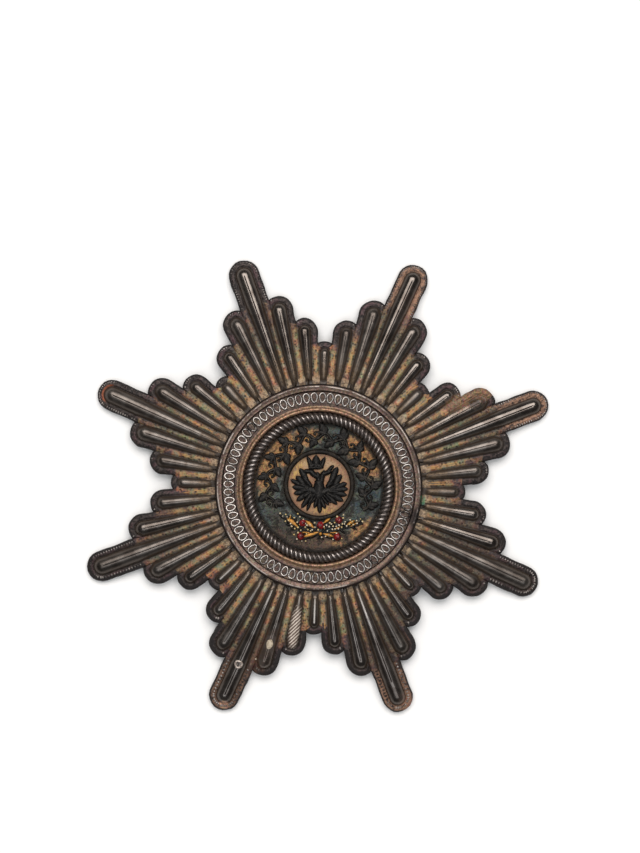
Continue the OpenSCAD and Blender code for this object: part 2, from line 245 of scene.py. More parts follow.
class Paint:
    """Builds one material's nodes."""

    def __init__(self, name):
        self.material = bpy.data.materials.new(name)
        self.material.use_nodes = True
        self.tree = self.material.node_tree
        self.shader = self.tree.nodes["Principled BSDF"]
        metres = self.node("ShaderNodeTexCoord").out("Object")
        self.place = self.vector("SCALE", {"Vector": metres, "Scale": 1 / MM}, "Vector")

    def node(self, kind, settings=(), inputs=()):
        """A node of that kind, its settings set first and then its sockets."""
        made = self.tree.nodes.new(kind)
        for key, value in dict(settings).items():
            setattr(made, key, value)
        for key, value in dict(inputs).items():
            self.feed(made.inputs[key], value)
        return Made(self, made)

    def feed(self, socket, value):
        """Links a wire to a socket, or sets it to a number or a colour."""
        if isinstance(value, Wire):
            self.tree.links.new(value.socket, socket)
        elif socket.type == "RGBA" and len(value) == 3:
            socket.default_value = (*value, 1)
        else:
            socket.default_value = value

    def number(self, kind, *values):
        """A Math node's result."""
        return self.node("ShaderNodeMath", {"operation": kind}, dict(enumerate(values))).out("Value")

    def vector(self, kind, inputs, out="Value"):
        """A Vector Math node's result."""
        return self.node("ShaderNodeVectorMath", {"operation": kind}, inputs).out(out)

    def texture(self, kind, inputs, shift=(0, 0, 0), stretch=(1, 1, 1), settings=()):
        """A texture on the place in millimetres, which is stretched and then shifted."""
        place = {"Vector": self.place, "Location": shift, "Scale": stretch}
        moved = self.node("ShaderNodeMapping", {}, place).out("Vector")
        return self.node("ShaderNodeTex" + kind, settings, {"Vector": moved, **inputs})

    def noise(self, scale, detail=3.0, roughness=0.55, distortion=0.0, shift=(0, 0, 0), stretch=(1, 1, 1)):
        """Noise from 0 to 1 whose features are about 1/scale millimetres."""
        inputs = {"Scale": scale, "Detail": detail, "Roughness": roughness, "Distortion": distortion}
        return self.texture("Noise", inputs, shift, stretch).out("Fac")

    def hues(self, scale, shift=(0, 0, 0)):
        """Specks of every hue round a middle grey."""
        return self.texture("Noise", {"Scale": scale, "Detail": 2, "Roughness": 0.6}, shift).out("Color")

    def cells(self, scale, shift=(0, 0, 0)):
        """Distance to the nearest of many scattered points."""
        return self.texture("Voronoi", {"Scale": scale}, shift).out("Distance")

    def stripes(self, scale):
        """Stripes that lean to the right, 0 to 1."""
        inputs = {"Scale": scale, "Distortion": 1.2, "Detail": 1, "Detail Scale": 2}
        settings = {"bands_direction": "DIAGONAL"}
        return self.texture("Wave", inputs, stretch=(-1, 1, 0), settings=settings).out("Fac")

    def value(self, name):
        """A number that the mesh carries on its vertices."""
        return self.node("ShaderNodeAttribute", {"attribute_name": name}).out("Fac")

    def ramp(self, value, stops):
        """Colours along a value, from (place, colour) stops."""
        made = self.node("ShaderNodeValToRGB", {}, {"Fac": value})
        elements = made.node.color_ramp.elements
        while len(elements) < len(stops):
            elements.new(0.5)
        for element, (place, tone) in zip(elements, stops):
            element.position = place
            element.color = (*tone, 1)
        return made.out("Color")

    def mix(self, factor, first, second, blend="MIX"):
        """Colours mixed by a factor."""
        settings = {"data_type": "RGBA", "blend_type": blend, "clamp_factor": True}
        return self.node("ShaderNodeMix", settings, {0: factor, 6: first, 7: second}).out(2)

    def layers(self, tone, rows):
        """Colours laid over a tone one after another, each by its own mask."""
        for mask, colour, *blend in rows:
            tone = self.mix(mask, tone, colour, *blend)
        return tone

    def distance(self, across, up, degrees=0.0, longer=1.0):
        """Distance in millimetres from a place on the star, longer along one direction."""
        place = {
            "Vector": self.place,
            "Location": (across, up, 0),
            "Rotation": (0, 0, math.radians(degrees)),
            "Scale": (longer, 1, 1000),
        }
        moved = self.node("ShaderNodeMapping", {"vector_type": "TEXTURE"}, place).out("Vector")
        return self.vector("LENGTH", {"Vector": moved})

    def spot(self, across, up, reach, softness, ragged, degrees=0.0, longer=1.0):
        """A ragged stain round a place on the star, 1 inside and 0 outside."""
        far = self.distance(across, up, degrees, longer)
        return (far + ragged.swing(softness * 2)).step(reach + softness / 2, reach - softness / 2)

    def spots(self, ragged, rows):
        """Several stains as one mask."""
        masks = [self.spot(*row[:4], ragged, *row[4:]) for row in rows]
        return functools.reduce(Wire.most, masks)

    def towards(self, across, up):
        """Distance from the star's middle along a direction, in millimetres."""
        return self.vector("DOT_PRODUCT", {0: self.place, 1: (across, up, 0)})

    def radius(self):
        """Distance from the star's axis in millimetres."""
        flat = self.vector("MULTIPLY", {0: self.place, 1: (1, 1, 0)}, "Vector")
        return self.vector("LENGTH", {"Vector": flat})

    def finish(self, tone, roughness, metallic=0.0, bump=None, depth=0.0, coat=None, fixed=()):
        """Feeds the shader. depth is the bump's height in millimetres."""
        sockets = {"Base Color": tone, "Roughness": roughness, "Metallic": metallic, **dict(fixed)}
        if coat is not None:
            sockets["Coat Weight"] = coat
        if bump is not None:
            inputs = {"Height": bump, "Distance": depth * MM, "Strength": 1.0}
            sockets["Normal"] = self.node("ShaderNodeBump", {}, inputs).out("Normal")
        for key, value in sockets.items():
            self.feed(self.shader.inputs[key], value)
        return self.material


# Worn enamel shows almost no gloss of its own
DULL = {"Specular IOR Level": 0.22}


def star_paint(tones):
    """Dark polished ridges, tarnish colours in the strips, mottled brown borders."""
    paint = Paint("Tarnished star silver")
    ridge = paint.value("ridge")
    beside = paint.value("beside")
    edge = paint.value("edge")
    share = paint.value("share")
    own = paint.value("own")
    radius = paint.radius()
    broad = paint.noise(0.09, 2, 0.5, 0.3)
    bands = paint.noise(0.42, 2, 0.55, 0.3, (7, 3, 0))
    patchy = paint.noise(0.4, 3, 0.6, 0.4, (3, 8, 0))
    ragged = paint.noise(0.8, 4, 0.65, 0.5, (2, 9, 0))
    fine = paint.noise(2.0, 3, 0.65, 0.0, (5, 1, 0))
    lumps = paint.noise(3.2, 2, 0.6, 0.0, (8, 6, 0))
    pits = paint.cells(1.5, (4, 2, 0))
    flecks = paint.cells(2.1, (9, 5, 0))
    grain = paint.noise(6, 2, 0.6)
    low = paint.towards(0, -1).step(4, 24)

    # The strips: warm at the hub, olive midway, dark at the outline, with pits and flecks
    along = (share * 0.58 + bands.swing(1.2) + broad.swing(0.4) + fine.swing(0.25) + 0.1).held()
    strip = paint.ramp(
        along,
        [
            (0.0, tones.sand),
            (0.17, tones.rust),
            (0.27, tones.ochre),
            (0.4, tones.olive),
            (0.53, tones.ochre),
            (0.64, tones.rust),
            (0.76, tones.plum),
            (0.95, tones.dusk),
        ],
    )
    faded = (paint.towards(0.87, -0.5) + patchy.swing(9)).step(19.5, 24.5)
    outward = (radius + patchy.swing(5)).step(25.5, 31).most(faded * 1.3)
    pitted = pits.step(0.38, 0.2) * (patchy + fine * 0.5).step(0.55, 0.72)
    flecked = flecks.step(0.3, 0.1) * fine.step(0.52, 0.42) * (1 - outward * 0.6)
    strip = paint.layers(
        strip,
        [
            (0.5, paint.hues(0.75, (6, 2, 0)), "OVERLAY"),
            (0.35, paint.hues(2.4, (4, 4, 0)), "OVERLAY"),
            (outward * 0.58, tones.dusk),
            (pitted * 0.9, (0.026, 0.01, 0.007)),
            (lumps.step(0.5, 0.62) * 0.5, tones.dusk),
            (flecked * 0.45, (0.4, 0.32, 0.19)),
            (lumps.step(0.44, 0.34) * 0.25, tones.sand),
            ((broad * 0.6 + bands * 0.6).step(0.62, 0.82) * 0.7, tones.dusk),
        ],
    )

    # The borders, the painted shade beside each ridge, and a thin gold line along it that is a painted edge
    # highlight
    reddish = (broad * 0.5 + patchy * 0.6).step(0.58, 0.68) * low
    border_tone = paint.layers(
        paint.mix(fine.step(0.4, 0.62), (0.016, 0.0125, 0.0125), (0.062, 0.048, 0.043)),
        [
            ((bands * 0.6 + fine * 0.4).step(0.5, 0.62) * 0.5, tones.plum),
            (reddish * fine.step(0.62, 0.42) * 0.8, (0.13, 0.06, 0.04)),
        ],
    )
    # The black outline on the rolled edge is painted shade; it and the dark border reach further in low on
    # the star, where more shade is painted
    near_edge = (edge - low * 0.25).step(1.45, 1.05)
    outermost = (edge - low * 0.42).step(0.42, 0.26)
    hubward = radius.step(20.9, 20.0)
    shade = beside.step(0.5, 0.02) * (1 - hubward * 0.75)
    # A thin bright gold line beside each ridge: a painted edge highlight
    gold_line = beside.off(0.58).step(0.14, 0.04) * patchy.step(0.5, 0.6) * (1 - near_edge)
    # The hub's pale gold by the ring is raised to offset the ring's shadow: painted light
    hub_tone_and_painted_light = paint.mix(fine.step(0.4, 0.6), (0.38, 0.27, 0.165), (0.1, 0.068, 0.044))
    flat = paint.layers(
        strip,
        [
            (near_edge, border_tone),
            (outermost * 0.95, tones.black),
            (shade * 0.93, (0.016, 0.0105, 0.008)),
            (gold_line * (0.65 - outward * 0.5), (0.46, 0.23, 0.06)),
            (hubward * 0.8, hub_tone_and_painted_light),
        ],
    )

    # The ridges: polished, browner at the root, pale on the crest low on the star as a painted highlight, and
    # dark at the foot as painted shade
    polished = paint.mix(patchy.step(0.35, 0.65), (0.09, 0.075, 0.066), (0.165, 0.145, 0.131))
    root = (radius + patchy.swing(6)).step(26.5, 20.5) * (1 - low * 0.45)
    brown = paint.mix(fine.step(0.4, 0.6), (0.055, 0.033, 0.017), (0.125, 0.08, 0.042))
    # A pale line along each crest, mostly low on the star: a painted highlight
    pale_crest = ridge.step(0.2, 0.06) * (0.08 + low * 0.92) * (0.45 + own * 0.55)
    pale_crest = pale_crest * (radius + bands.swing(14)).step(30, 23)
    # The dark foot of each ridge is painted shade in the crease at its side
    foot = ridge.step(0.5, 0.86)
    flank = paint.layers(
        polished,
        [(root * 0.75, brown), (pale_crest * 0.75, (0.66, 0.6, 0.55)), (foot * 0.94, (0.036, 0.0235, 0.0155))],
    )
    on_ridge = beside.step(0.04, -0.04)
    tone = paint.mix(on_ridge, flat, flank)

    # Single stains: mask, colour, strength, and how far the ridges are spared
    stains = [
        (paint.spot(27.2, 17.3, 1.5, 1.3, ragged, 23.4, 3.6), tones.dust, 0.95, 0.1),
        (paint.spot(28.2, 16.7, 0.8, 0.8, ragged, 23.4, 1.7), (0.035, 0.022, 0.016), 0.9, 0.0),
        (paint.spot(22.6, 14.6, 0.55, 0.4, fine, 0, 1.3), (0.42, 0.21, 0.11), 0.9, 0.4),
        (paint.spot(15.2, 33.5, 1.2, 1.2, ragged, 68, 3.2), tones.copper, 0.5, 0.85),
        (paint.spot(20.5, 33.0, 1.2, 0.8, ragged), tones.copper, 0.8, 0.7),
        (paint.spot(-16.0, -40.7, 0.75, 0.5, fine), (0.52, 0.3, 0.2), 0.9, 0.4),
        (paint.spot(-9.0, -30.5, 1.6, 1.4, ragged, 67, 3.0), (0.09, 0.042, 0.024), 0.6, 0.5),
        (paint.spot(17.9, -39.2, 1.3, 1.0, ragged, -60, 1.6), tones.copper, 0.7, 0.7),
        (paint.spot(19.4, -1.7, 0.24, 0.4, fine, 84, 2.8), tones.verdigris, 0.75, 0.0),
    ]
    dull = root * 0.35
    for mask, stain, strength, spared in stains:
        rough_stain = paint.mix(0.85, stain, paint.hues(2.2, (3, 7, 0)), "OVERLAY")
        rough_stain = paint.mix(lumps.step(0.52, 0.62) * 0.6, rough_stain, (0.04, 0.026, 0.018))
        cover = mask * strength * (1 - on_ridge * spared)
        tone = paint.mix(cover, tone, rough_stain)
        dull = dull.most(cover)
    # Copper shows on four points' borders, a rusty arc on the left one, and one lower ray is scored
    tip_band = edge.step(1.5, 1.1) * edge.step(0.2, 0.45) * (1 - on_ridge)
    for degrees, strength in ((67.7, 0.85), (292.4, 0.8), (23.0, 0.9), (247.2, 0.5)):
        tip = polar(41, math.radians(degrees))
        near = paint.spot(tip.x, tip.y, 3.0, 1.5, ragged, degrees, 2.4)
        tone = paint.mix(near * tip_band * strength * fine.step(0.66, 0.42), tone, (0.3, 0.17, 0.11))
    arc = paint.spot(-40.4, 16.4, 1.9, 1.2, fine) * beside.step(0.6, 0.3) * beside.step(0.08, 0.2)
    tone = paint.mix(arc * 0.75, tone, (0.3, 0.085, 0.035))
    scored = paint.spot(-3.4, -26.1, 1.0, 0.5, fine, 83, 3.9) * on_ridge
    cuts = (paint.stripes(0.96) + fine.swing(0.9)).step(0.4, 0.66)
    dull = dull.most(scored * 0.75)
    tone = paint.mix(scored * 0.9, tone, paint.mix(cuts, (0.13, 0.085, 0.065), (0.74, 0.64, 0.55)))

    # Gloss and grain
    metal = on_ridge * (1 - dull) * (1 - foot * 0.85) + (1 - on_ridge) * near_edge * (1 - outermost) * 0.45
    rough = on_ridge * (0.19 + own * 0.16 + root * 0.1 + scored * 0.2)
    rough = rough + (1 - on_ridge) * (0.42 + outermost * 0.3)
    rough = rough + patchy.swing(0.1) + grain.swing(0.03)
    rugged = (fine * 1.1 + lumps * 0.6) * (1 - on_ridge) - pitted * 0.7 * (1 - on_ridge)
    bump = rugged + dull * (fine + lumps) * on_ridge * 0.4 + scored * cuts
    return paint.finish(tone, rough.held(), metal.held(), bump, 0.1, fixed={"Specular IOR Level": 0.35})


def ring_paint(tones):
    """Brown tarnished silver, gilded on its inner bead and dark in its corners."""
    paint = Paint("Tarnished ring silver")
    radius = paint.radius()
    patchy = paint.noise(0.3, 3, 0.6, 0.4, (1, 4, 0))
    fine = paint.noise(2.2, 3, 0.65)
    speck = paint.noise(3, 2, 0.7, 0.0, (3, 1, 0))
    brown = paint.mix(patchy.step(0.35, 0.65), (0.085, 0.052, 0.042), (0.13, 0.09, 0.068))
    gold_line = paint.mix(fine.step(0.42, 0.66), (0.43, 0.265, 0.165), (0.15, 0.085, 0.052))
    step_tone = paint.mix(fine.step(0.42, 0.62), (0.23, 0.155, 0.12), (0.11, 0.072, 0.058))
    channel = radius.off(16.5).step(1.25, 0.95) * speck.step(0.45, 0.6)
    corners = [
        ((radius + patchy.swing(0.2)).off(place).step(wide, 0.06) * strength, tones.black)
        for place, wide, strength in ((18.98, 0.3, 0.9), (17.76, 0.18, 0.4), (15.5, 0.24, 0.6))
    ]
    pale_crest = radius.off(18.6).step(0.14, 0.05) * (patchy * 0.7 + fine * 0.4).step(0.5, 0.62)
    green = paint.spot(19.15, -1.4, 0.4, 0.4, fine, 86, 2.2)
    green_tone = paint.mix(fine.step(0.4, 0.6), tones.verdigris, (0.03, 0.06, 0.03))
    dirt = paint.spot(17.7, -4.6, 0.85, 0.8, fine, 75, 2.1)
    tone = paint.layers(
        brown,
        [
            (fine.step(0.45, 0.68) * 0.75, (0.03, 0.022, 0.02)),
            (speck.step(0.44, 0.32) * 0.5, (0.24, 0.17, 0.12)),
            (radius.off(14.45).step(0.75, 0.3) * 0.85, gold_line),
            (radius.off(18.15).step(0.35, 0.15) * 0.8, step_tone),
            (0.4, paint.hues(2.4, (2, 5, 0)), "OVERLAY"),
            (channel * 0.6, (0.03, 0.022, 0.019)),
            *corners,
            (radius.off(18.62).step(0.22, 0.1) * 0.5, (0.07, 0.05, 0.042)),
            (pale_crest * 0.8, (0.46, 0.4, 0.36)),
            (green * 0.85, green_tone),
            (dirt * 0.9, tones.black),
        ],
    )
    rough = 0.34 + fine * 0.2
    return paint.finish(tone, rough, 0.7, fine + speck * 0.5, 0.07)


def loop_paint():
    """The loops' wire: worn bright on top in places, dark at its foot."""
    paint = Paint("Worn loop silver")
    high = paint.value("high")
    patchy = paint.noise(0.25, 2, 0.6, 0.4, (6, 2, 0))
    bitty = paint.noise(1.5, 3, 0.7, 0.0, (2, 2, 5))
    rubbed_spot = paint.spot(13.1, -9.8, 1.3, 1.2, bitty, 51.566, 1.6)
    bright = (patchy * 0.6 + bitty * 0.6).step(0.42, 0.64).most(rubbed_spot)
    worn = high.step(0.5, 0.95) * bright
    tone = paint.mix(worn, (0.024, 0.018, 0.017), (0.56, 0.515, 0.48))
    return paint.finish(tone, 0.3, 0.85, bitty, 0.04)


def rope_paint():
    """Dark rope, polished on its strands."""
    paint = Paint("Dark rope silver")
    high = paint.value("high")
    patchy = paint.noise(0.3, 2, 0.6, 0.3, (3, 8, 0))
    bitty = paint.noise(1.4, 3, 0.7, 0.0, (8, 2, 5))
    # Darker in the grooves than on the crests; the grooves' colour is raised to offset their shade, which is
    # painted light
    tone = paint.mix(high.step(0.25, 0.8), (0.05, 0.038, 0.033), (0.1, 0.08, 0.072))
    polished = high.step(0.88, 0.99) * (patchy * 0.5 + bitty * 0.7).step(0.5, 0.7)
    tone = paint.mix(polished, tone, (0.5, 0.45, 0.42))
    return paint.finish(tone, 0.3, 0.7, bitty, 0.04, coat=0.35, fixed={"Coat Roughness": 0.16})


def band_paint(tones):
    """Worn enamel: grimy orange tan patches and slate ones, black in between, with painted shade round its
    outer edge by the rope.
    """
    paint = Paint("Worn band enamel")
    patchy = paint.noise(0.5, 4, 0.65, 0.8, (4, 6, 0))
    blotch = paint.noise(0.75, 4, 0.7, 0.6, (1, 2, 7))
    fine = paint.noise(2.4, 3, 0.7)
    speck = paint.noise(3.4, 2, 0.7, 0.0, (6, 1, 0))
    slate = paint.mix(patchy.step(0.35, 0.65), tones.slate, (0.085, 0.09, 0.068))
    tan = paint.mix(fine.step(0.35, 0.65), tones.tan, (0.13, 0.06, 0.026))
    mask = paint.spots(
        patchy,
        [
            (-6.6, 7.2, 2.6, 1.5, 130, 2.0),
            (-9.6, 2.6, 2.0, 1.4, 80, 2.2),
            (8.0, 6.0, 2.3, 1.5, -52, 2.0),
            (-2.4, 9.2, 1.5, 1.3, 10, 1.8),
            (8.2, -7.4, 1.0, 1.4, 40, 2.4),
            (3.5, -10.2, 0.6, 1.2, 0, 2.6),
        ],
    )
    below = (paint.towards(0, -1) + patchy.swing(4)).step(7.0, 9.0) * (1 - mask)
    # A dark ring along the band's outer edge by the rope: painted shade of the rope
    rim = (paint.radius() + patchy.swing(1.6)).step(11.0, 11.7)
    near = (paint.distance(0.05, 0.5) + patchy.swing(1.8)).step(7.2, 6.8)
    tone = paint.layers(
        slate,
        [
            (mask, tan),
            (paint.spot(-9.3, -1.9, 1.1, 1.2, patchy, 100, 1.6) * 0.7, (0.12, 0.115, 0.075)),
            (below * 0.8, (0.085, 0.045, 0.028)),
            (paint.spot(9.0, -2.6, 1.5, 1.6, patchy, 75, 1.8) * 0.55, (0.014, 0.022, 0.026)),
            (paint.spot(-6.2, -7.0, 1.6, 2.0, patchy, -45, 2.0) * 0.8, (0.05, 0.043, 0.032)),
            (0.55, paint.hues(2.8, (3, 3, 0)), "OVERLAY"),
            (speck.step(0.5, 0.64) * (0.75 - mask * 0.35), tones.grime_and_shade),
            (speck.step(0.36, 0.26) * 0.35, (0.3, 0.26, 0.19)),
            (blotch.step(0.5, 0.6) * (1 - mask * 0.7) * 0.8, tones.grime_and_shade),
            (rim * 0.92, tones.grime_and_shade),
            (near * 0.8, tones.grime_and_shade),
        ],
    )
    return paint.finish(tone, 0.5 + fine * 0.2, 0.0, fine + speck * 0.6 + blotch, 0.14, fixed=DULL)


def disc_paint():
    """The disc's tan ground, scratched gold near its edge."""
    paint = Paint("Grained disc ground")
    patchy = paint.noise(0.5, 4, 0.65, 0.5, (9, 2, 0))
    fine = paint.noise(2.6, 3, 0.7, 0.2)
    scratch = paint.noise(2.2, 3, 0.6, 0.0, (0, 4, 0), (2.4, 0.5, 1))
    tan = paint.mix(patchy.step(0.35, 0.65), (0.25, 0.125, 0.068), (0.33, 0.2, 0.11))
    gold = paint.spots(fine, [(-3.9, 3.4, 1.0, 1.0, 50, 2.2), (1.5, -4.2, 0.7, 0.9, 0, 2.6)])
    pale = paint.spots(fine, [(1.9, 4.2, 0.8, 1.0, -40, 2.0), (-2.6, 4.1, 0.5, 0.8, -45, 2.0)])
    edge = (paint.distance(0.05, 0.5) + patchy.swing(1.2)).step(5.0, 5.7)
    tone = paint.layers(
        tan,
        [
            (fine.step(0.52, 0.66) * 0.6, (0.09, 0.05, 0.03)),
            (0.4, paint.hues(2.8, (1, 3, 0)), "OVERLAY"),
            (gold * scratch.step(0.45, 0.55) * 0.85, (0.46, 0.3, 0.09)),
            (pale * 0.5, (0.42, 0.3, 0.18)),
            (edge * 0.7, (0.08, 0.045, 0.028)),
        ],
    )
    return paint.finish(tone, 0.5, 0.0, fine + scratch * 0.7, 0.1, fixed=DULL)


def black_paint(name, tone, worn):
    """Dark enamel relief, rubbed lighter on its edges."""
    paint = Paint(name)
    high = paint.value("high")
    fine = paint.noise(2.4, 3, 0.65)
    mixed = paint.mix(high.step(0.55, 1.0) * fine.step(0.45, 0.62), tone, worn)
    return paint.finish(mixed, 0.36 + fine * 0.2, 0.0, fine, 0.09, fixed=DULL)


def rim_paint():
    """The disc's thick rim: black with olive and brown grime."""
    paint = Paint("Grimy rim enamel")
    patchy = paint.noise(0.45, 3, 0.6, 0.3, (2, 6, 0))
    fine = paint.noise(2.2, 3, 0.65)
    tone = paint.mix(patchy.step(0.4, 0.6), (0.006, 0.0045, 0.0035), (0.018, 0.013, 0.009))
    tone = paint.mix(fine.step(0.55, 0.68) * 0.6, tone, (0.06, 0.045, 0.03))
    return paint.finish(tone, 0.55, 0.0, fine, 0.12, fixed=DULL)


def gilt_paint(tones):
    """Gilt leaves with dirt in their hollows."""
    paint = Paint("Dirty gilt")
    high = paint.value("high")
    patchy = paint.noise(0.9, 3, 0.6, 0.4)
    tone = paint.mix(high.step(0.3, 0.55), (0.012, 0.008, 0.005), tones.gilt)
    tone = paint.mix(patchy.step(0.55, 0.7) * 0.7, tone, (0.1, 0.05, 0.012))
    return paint.finish(tone, 0.36, 0.5, paint.noise(3), 0.05)


def cream_paint(tones):
    """Small worn beads, cream, gold and grey by turns."""
    paint = Paint("Worn cream beads")
    high = paint.value("high")
    turn = paint.noise(0.9, 2, 0.5, 0.0, (4, 4, 0))
    stops = [(0.35, (0.3, 0.26, 0.2)), (0.47, (0.62, 0.45, 0.16)), (0.56, (0.6, 0.52, 0.4))]
    tone = paint.ramp(turn, stops)
    tone = paint.mix(high.step(0.6, 0.3), tone, tones.grime_and_shade)
    return paint.finish(tone, 0.3, 0.3, paint.noise(4), 0.03)


def ruby_paint(tones):
    """Deep red drops with darker pits."""
    paint = Paint("Ruby enamel")
    fine = paint.noise(1.5, 3, 0.6, 0.5)
    tone = paint.mix(fine.step(0.45, 0.6), tones.ruby, (0.05, 0.002, 0.003))
    return paint.finish(tone, 0.28, 0.0, fine, 0.3, coat=0.35, fixed={"Coat Roughness": 0.12})


def pin_paint():
    """Plain grey metal, unevenly dull."""
    paint = Paint("Dull pin metal")
    fine = paint.noise(2, 3, 0.6)
    tone = paint.mix(fine, (0.16, 0.15, 0.14), (0.3, 0.28, 0.26))
    return paint.finish(tone, 0.45, 0.85, fine, 0.03)


def chalk_paint():
    """The crust on the flake and the bead."""
    paint = Paint("Pale crust")
    fine = paint.noise(2.5, 3, 0.6)
    tone = paint.mix(fine.step(0.4, 0.62), (0.48, 0.41, 0.31), (0.3, 0.24, 0.17))
    return paint.finish(tone, 0.8, 0.0, fine, 0.1)


def worn_paint():
    """The blister's brown metal, rubbed light."""
    paint = Paint("Rubbed blister")
    fine = paint.noise(2.5, 3, 0.6)
    tone = paint.mix(fine.step(0.45, 0.65), (0.5, 0.43, 0.38), (0.16, 0.11, 0.085))
    return paint.finish(tone, 0.34, 0.7, fine, 0.05)


def milling_paint():
    """The strokes along the outline, rubbed bright in places."""
    paint = Paint("Rubbed milling")
    patchy = paint.noise(0.22, 3, 0.6, 0.4, (2, 2, 0))
    bitty = paint.noise(1.2, 2, 0.7, 0.0, (1, 5, 0))
    tone = paint.mix((patchy * 0.7 + bitty * 0.4).step(0.44, 0.66), (0.035, 0.028, 0.026), (0.5, 0.45, 0.42))
    return paint.finish(tone, 0.34, 0.8, paint.noise(4), 0.02)


def piece(mesh, name, material):
    """A finished bmesh as an object that rides with the star."""
    data = bpy.data.meshes.new(name)
    mesh.to_mesh(data)
    mesh.free()
    for polygon in data.polygons:
        polygon.use_smooth = True
    made = bpy.data.objects.new(name, data)
    bpy.context.scene.collection.objects.link(made)
    data.materials.append(material)
    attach(made, "root")
    return made


def patch(mesh, columns, rows, place):
    """A grid whose vertices go where place(column, row) says, with the numbers that they carry."""
    made = bmesh.ops.create_grid(mesh, x_segments=columns, y_segments=rows, size=0.5)["verts"]
    for v in made:
        column = round((v.co.x + 0.5) * columns)
        row = round((v.co.y + 0.5) * rows)
        co, carried = place(column, row)
        v.co = co
        for layer, number in carried.items():
            v[layer] = number
    return made


def weld(mesh, gap):
    """Joins vertices that meet, and points the faces outwards."""
    bmesh.ops.remove_doubles(mesh, verts=mesh.verts, dist=gap)
    bmesh.ops.recalc_face_normals(mesh, faces=mesh.faces)


def relief_mesh():
    """An empty mesh whose vertices carry how high they lie on their own form."""
    mesh = bmesh.new()
    return mesh, mesh.verts.layers.float.new("high")


def extruded(mesh, edges):
    """Extrudes edges, and returns the vertices that this makes."""
    made = bmesh.ops.extrude_edge_only(mesh, edges=edges)["geom"]
    return [g for g in made if isinstance(g, bmesh.types.BMVert)]


def open_edges(verts):
    """The edges at some vertices that have a face on one side only."""
    return list(dict.fromkeys(e for v in verts for e in v.link_edges if e.is_boundary))


def seated(place, turn):
    """Turns a form about the upright and moves it to a place."""
    return Matrix.Translation(place) @ Matrix.Rotation(turn, 4, "Z")


def smooth(low, high, value):
    """0 under low and 1 over high, smoothly between."""
    t = min(1, max(0, (value - low) / (high - low)))
    return t * t * (3 - 2 * t)


def polar(radius, angle, z=0.0):
    """A point at a radius and a direction."""
    return Vector((radius * math.cos(angle), radius * math.sin(angle), z))


